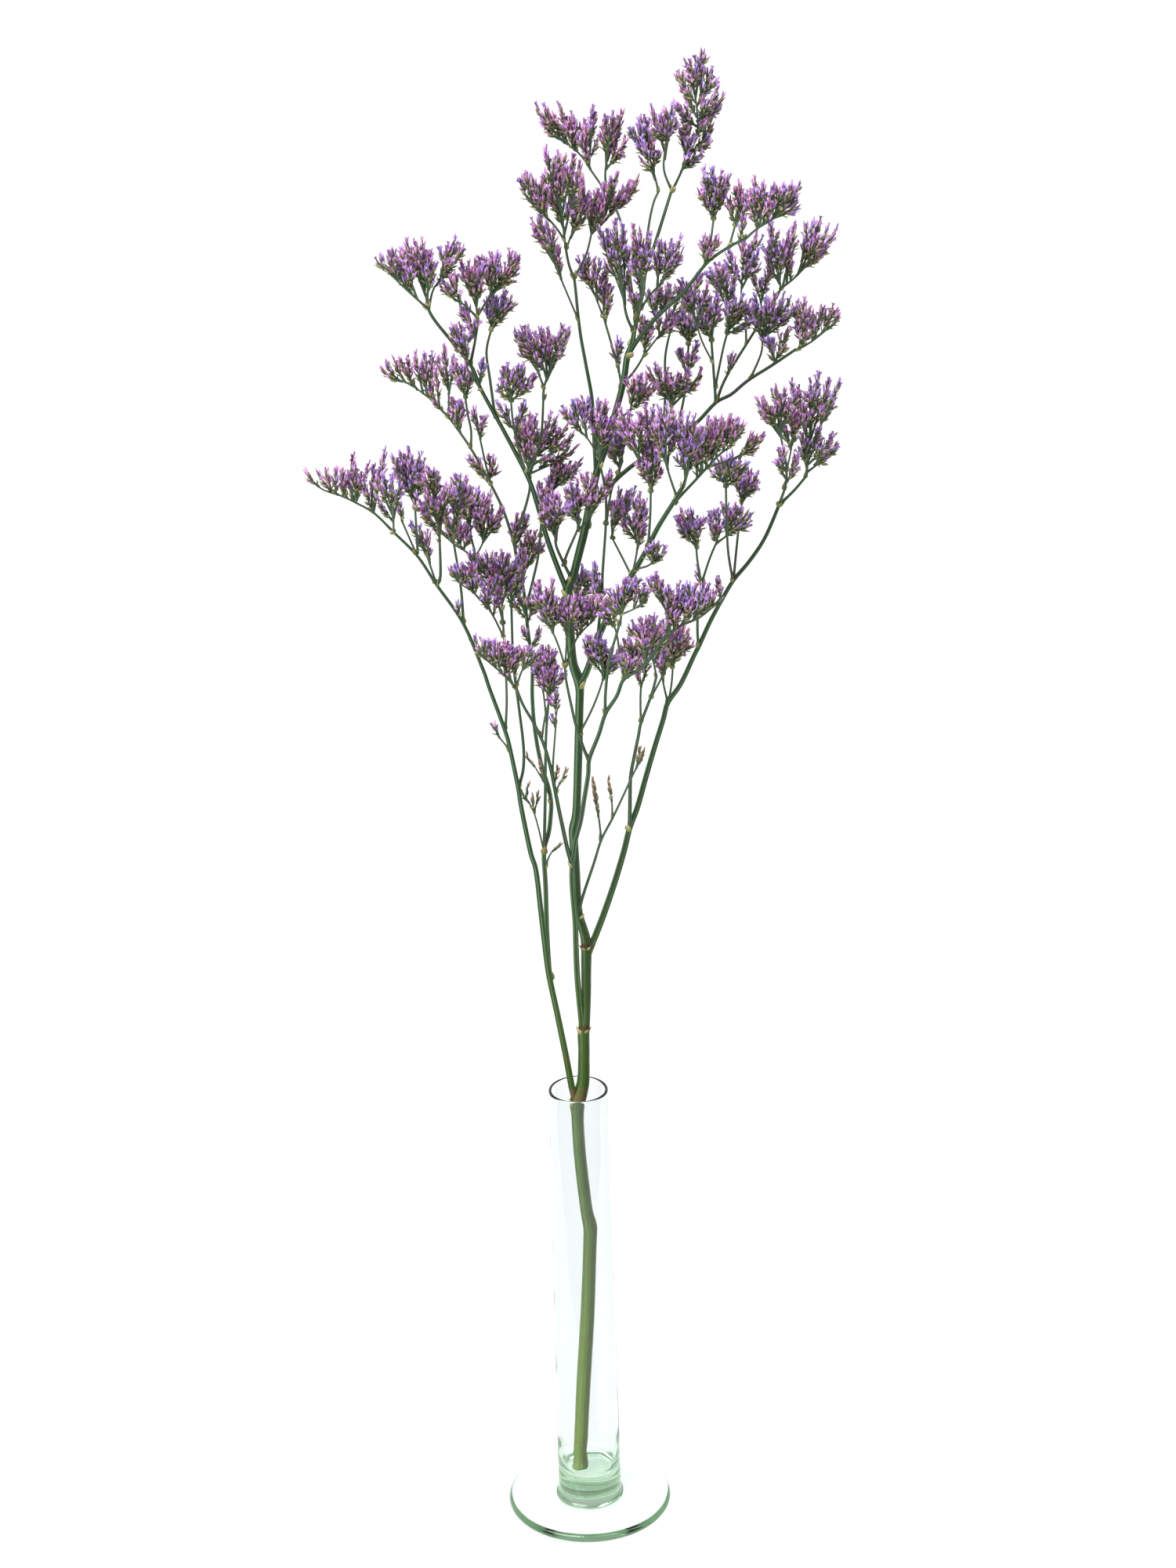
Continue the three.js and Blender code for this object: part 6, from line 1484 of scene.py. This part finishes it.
def vase_mesh():
    inner_rim, inner_tube = RIM_RADIUS - GLASS, TUBE_RADIUS - GLASS
    middle = (TUBE_RADIUS + RIM_RADIUS) / 2
    # The foot, from the middle of its underside, round its edge and up to the tube
    outline = [(0, 0), (20, 0), (33, 0), (35.4, 0.1), (36.4, 0.6), (36.9, 1.4), (FOOT_RADIUS, 2.2),
               (36.8, 3.0), (36.2, 3.7), (35, 4.2), (30, 4.3), (24, 4.4), (18.5, 4.6), (16.5, 4.9),
               (15.4, 5.4), (14.8, 6.1), (14.4, 7.0), (14.2, 8.2), (TUBE_RADIUS, 10)]
    # The outside of the tube, the half-round rim and the inside down to the floor
    outline += [(TUBE_RADIUS + 0.1 * i / 6, 10 + 5 * i) for i in range(1, 7)]
    widest = TUBE_RADIUS + 0.1
    outline += [(widest + (middle - widest) * i / 9, 40 + 10 * i) for i in range(1, 10)]
    outline += [(middle + (RIM_RADIUS - middle) * i / 7, 130 + 10 * i) for i in range(1, 8)]
    near_rim = (203, 205.5, 207.5, 209, 210, 210.7)
    outline += [(RIM_RADIUS, height) for height in near_rim]
    half = GLASS / 2
    for i in range(RIM_STEPS + 1):
        turn = math.pi * i / RIM_STEPS
        over = RIM_RADIUS - half + half * math.cos(turn)
        outline.append((over, RIM_HEIGHT - half + half * math.sin(turn)))
    outline += [(inner_rim, height) for height in reversed(near_rim)]
    middle_in = (inner_rim + inner_tube) / 2
    outline += [(inner_rim + (middle_in - inner_rim) * i / 7, 200 - 10 * i) for i in range(8)]
    outline += [(middle_in + (inner_tube - middle_in) * i / 9, 130 - 10 * i) for i in range(1, 10)]
    outline += [(inner_tube - 0.1, 32), (inner_tube - 0.4, 26), (12.1, 22.2), (11.6, 20), (10.8, 18.7),
                (9.6, 17.9), (7.5, 17.4), (4.5, FLOOR_HEIGHT + 0.02), (0, FLOOR_HEIGHT)]
    rings = []
    for radius, height in outline:
        if radius == 0:
            rings.append([(0, 0, height)])
            continue
        ring = []
        for i in range(ROUND):
            turn = math.tau * i / ROUND
            sway = 0.09 * math.sin(height * 0.083 + 2 * turn) + 0.06 * math.sin(height * 0.19 - 3 * turn)
            ripple = 0.13 * math.sin(height * 0.55 + 4 * turn) * (12 < height < 60)
            reach = radius + (sway + ripple if 9 < height < 211 else 0)
            ring.append((reach * math.cos(turn), reach * math.sin(turn), height))
        rings.append(ring)
    keeper = bpy.data.collections.new("keeper")
    skinned("bud_vase_glass", rings, keeper)
    vase = keeper.objects[0]
    mesh = vase.data
    bpy.data.objects.remove(vase)
    bpy.data.collections.remove(keeper)
    mesh.attributes.remove(mesh.attributes["rise"])
    return mesh


def glass_finish():
    material = finish_of("green_glass", srgb(251, 253, 255), 0.0, blown, WAVE_DEPTH,
                         Transmission_Weight=1.0, IOR=1.47, Specular_IOR_Level=0.2)
    tree = material.node_tree
    absorbs = add(tree, "ShaderNodeVolumeAbsorption", {},
                  {"Color": srgb(152, 198, 150), "Density": ABSORPTION}, "Volume")
    output = next(node for node in tree.nodes if node.bl_idname == "ShaderNodeOutputMaterial")
    tree.links.new(absorbs.socket, output.inputs["Volume"])
    return material


glass = vase_mesh()
glass.materials.append(glass_finish())
vase = piece("bud_vase_glass", glass)
vase.visible_shadow = False
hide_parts("bud_vase")


# Floor and light

WORLD_LIGHT = 0.8
SEEN_WORLD_EXTRA = 0.25
SUN_ENERGY = 2.9


def set_stage():
    mesh = bpy.data.meshes.new("floor")
    reach = 9.0
    below = -0.0003
    corners = [(-reach, -reach, below), (reach, -reach, below), (reach, reach, below),
               (-reach, reach, below)]
    mesh.from_pydata(corners, [], [(0, 1, 2, 3)])
    mesh.materials.append(finish_of("pale_floor", srgb(224, 224, 224), 0.9, None, Specular_IOR_Level=0.1))
    floor = bpy.data.objects.new("floor", mesh)
    bpy.context.scene.collection.objects.link(floor)
    world = bpy.data.worlds.new("studio")
    world.use_nodes = True
    background = world.node_tree.nodes["Background"]
    background.inputs["Color"].default_value = (1.0, 1.0, 1.0, 1.0)
    seen_straight = add(world.node_tree, "ShaderNodeLightPath", output="Is Camera Ray")
    strength = seen_straight * SEEN_WORLD_EXTRA + WORLD_LIGHT
    world.node_tree.links.new(strength.socket, background.inputs["Strength"])
    bpy.context.scene.world = world
    light = bpy.data.lights.new("soft_key", "SUN")
    light.angle = math.radians(40)
    light.energy = SUN_ENERGY
    lamp = bpy.data.objects.new("soft_key", light)
    lamp.rotation_euler = Vector((0.75, 0.8, -1.25)).to_track_quat("-Z", "Y").to_euler()
    bpy.context.scene.collection.objects.link(lamp)
    bpy.context.scene.view_settings.view_transform = "Standard"
    # Light inside the glass is followed until it comes out again
    paths = bpy.context.scene.cycles
    paths.max_bounces, paths.glossy_bounces, paths.transmission_bounces = 24, 16, 24


set_stage()
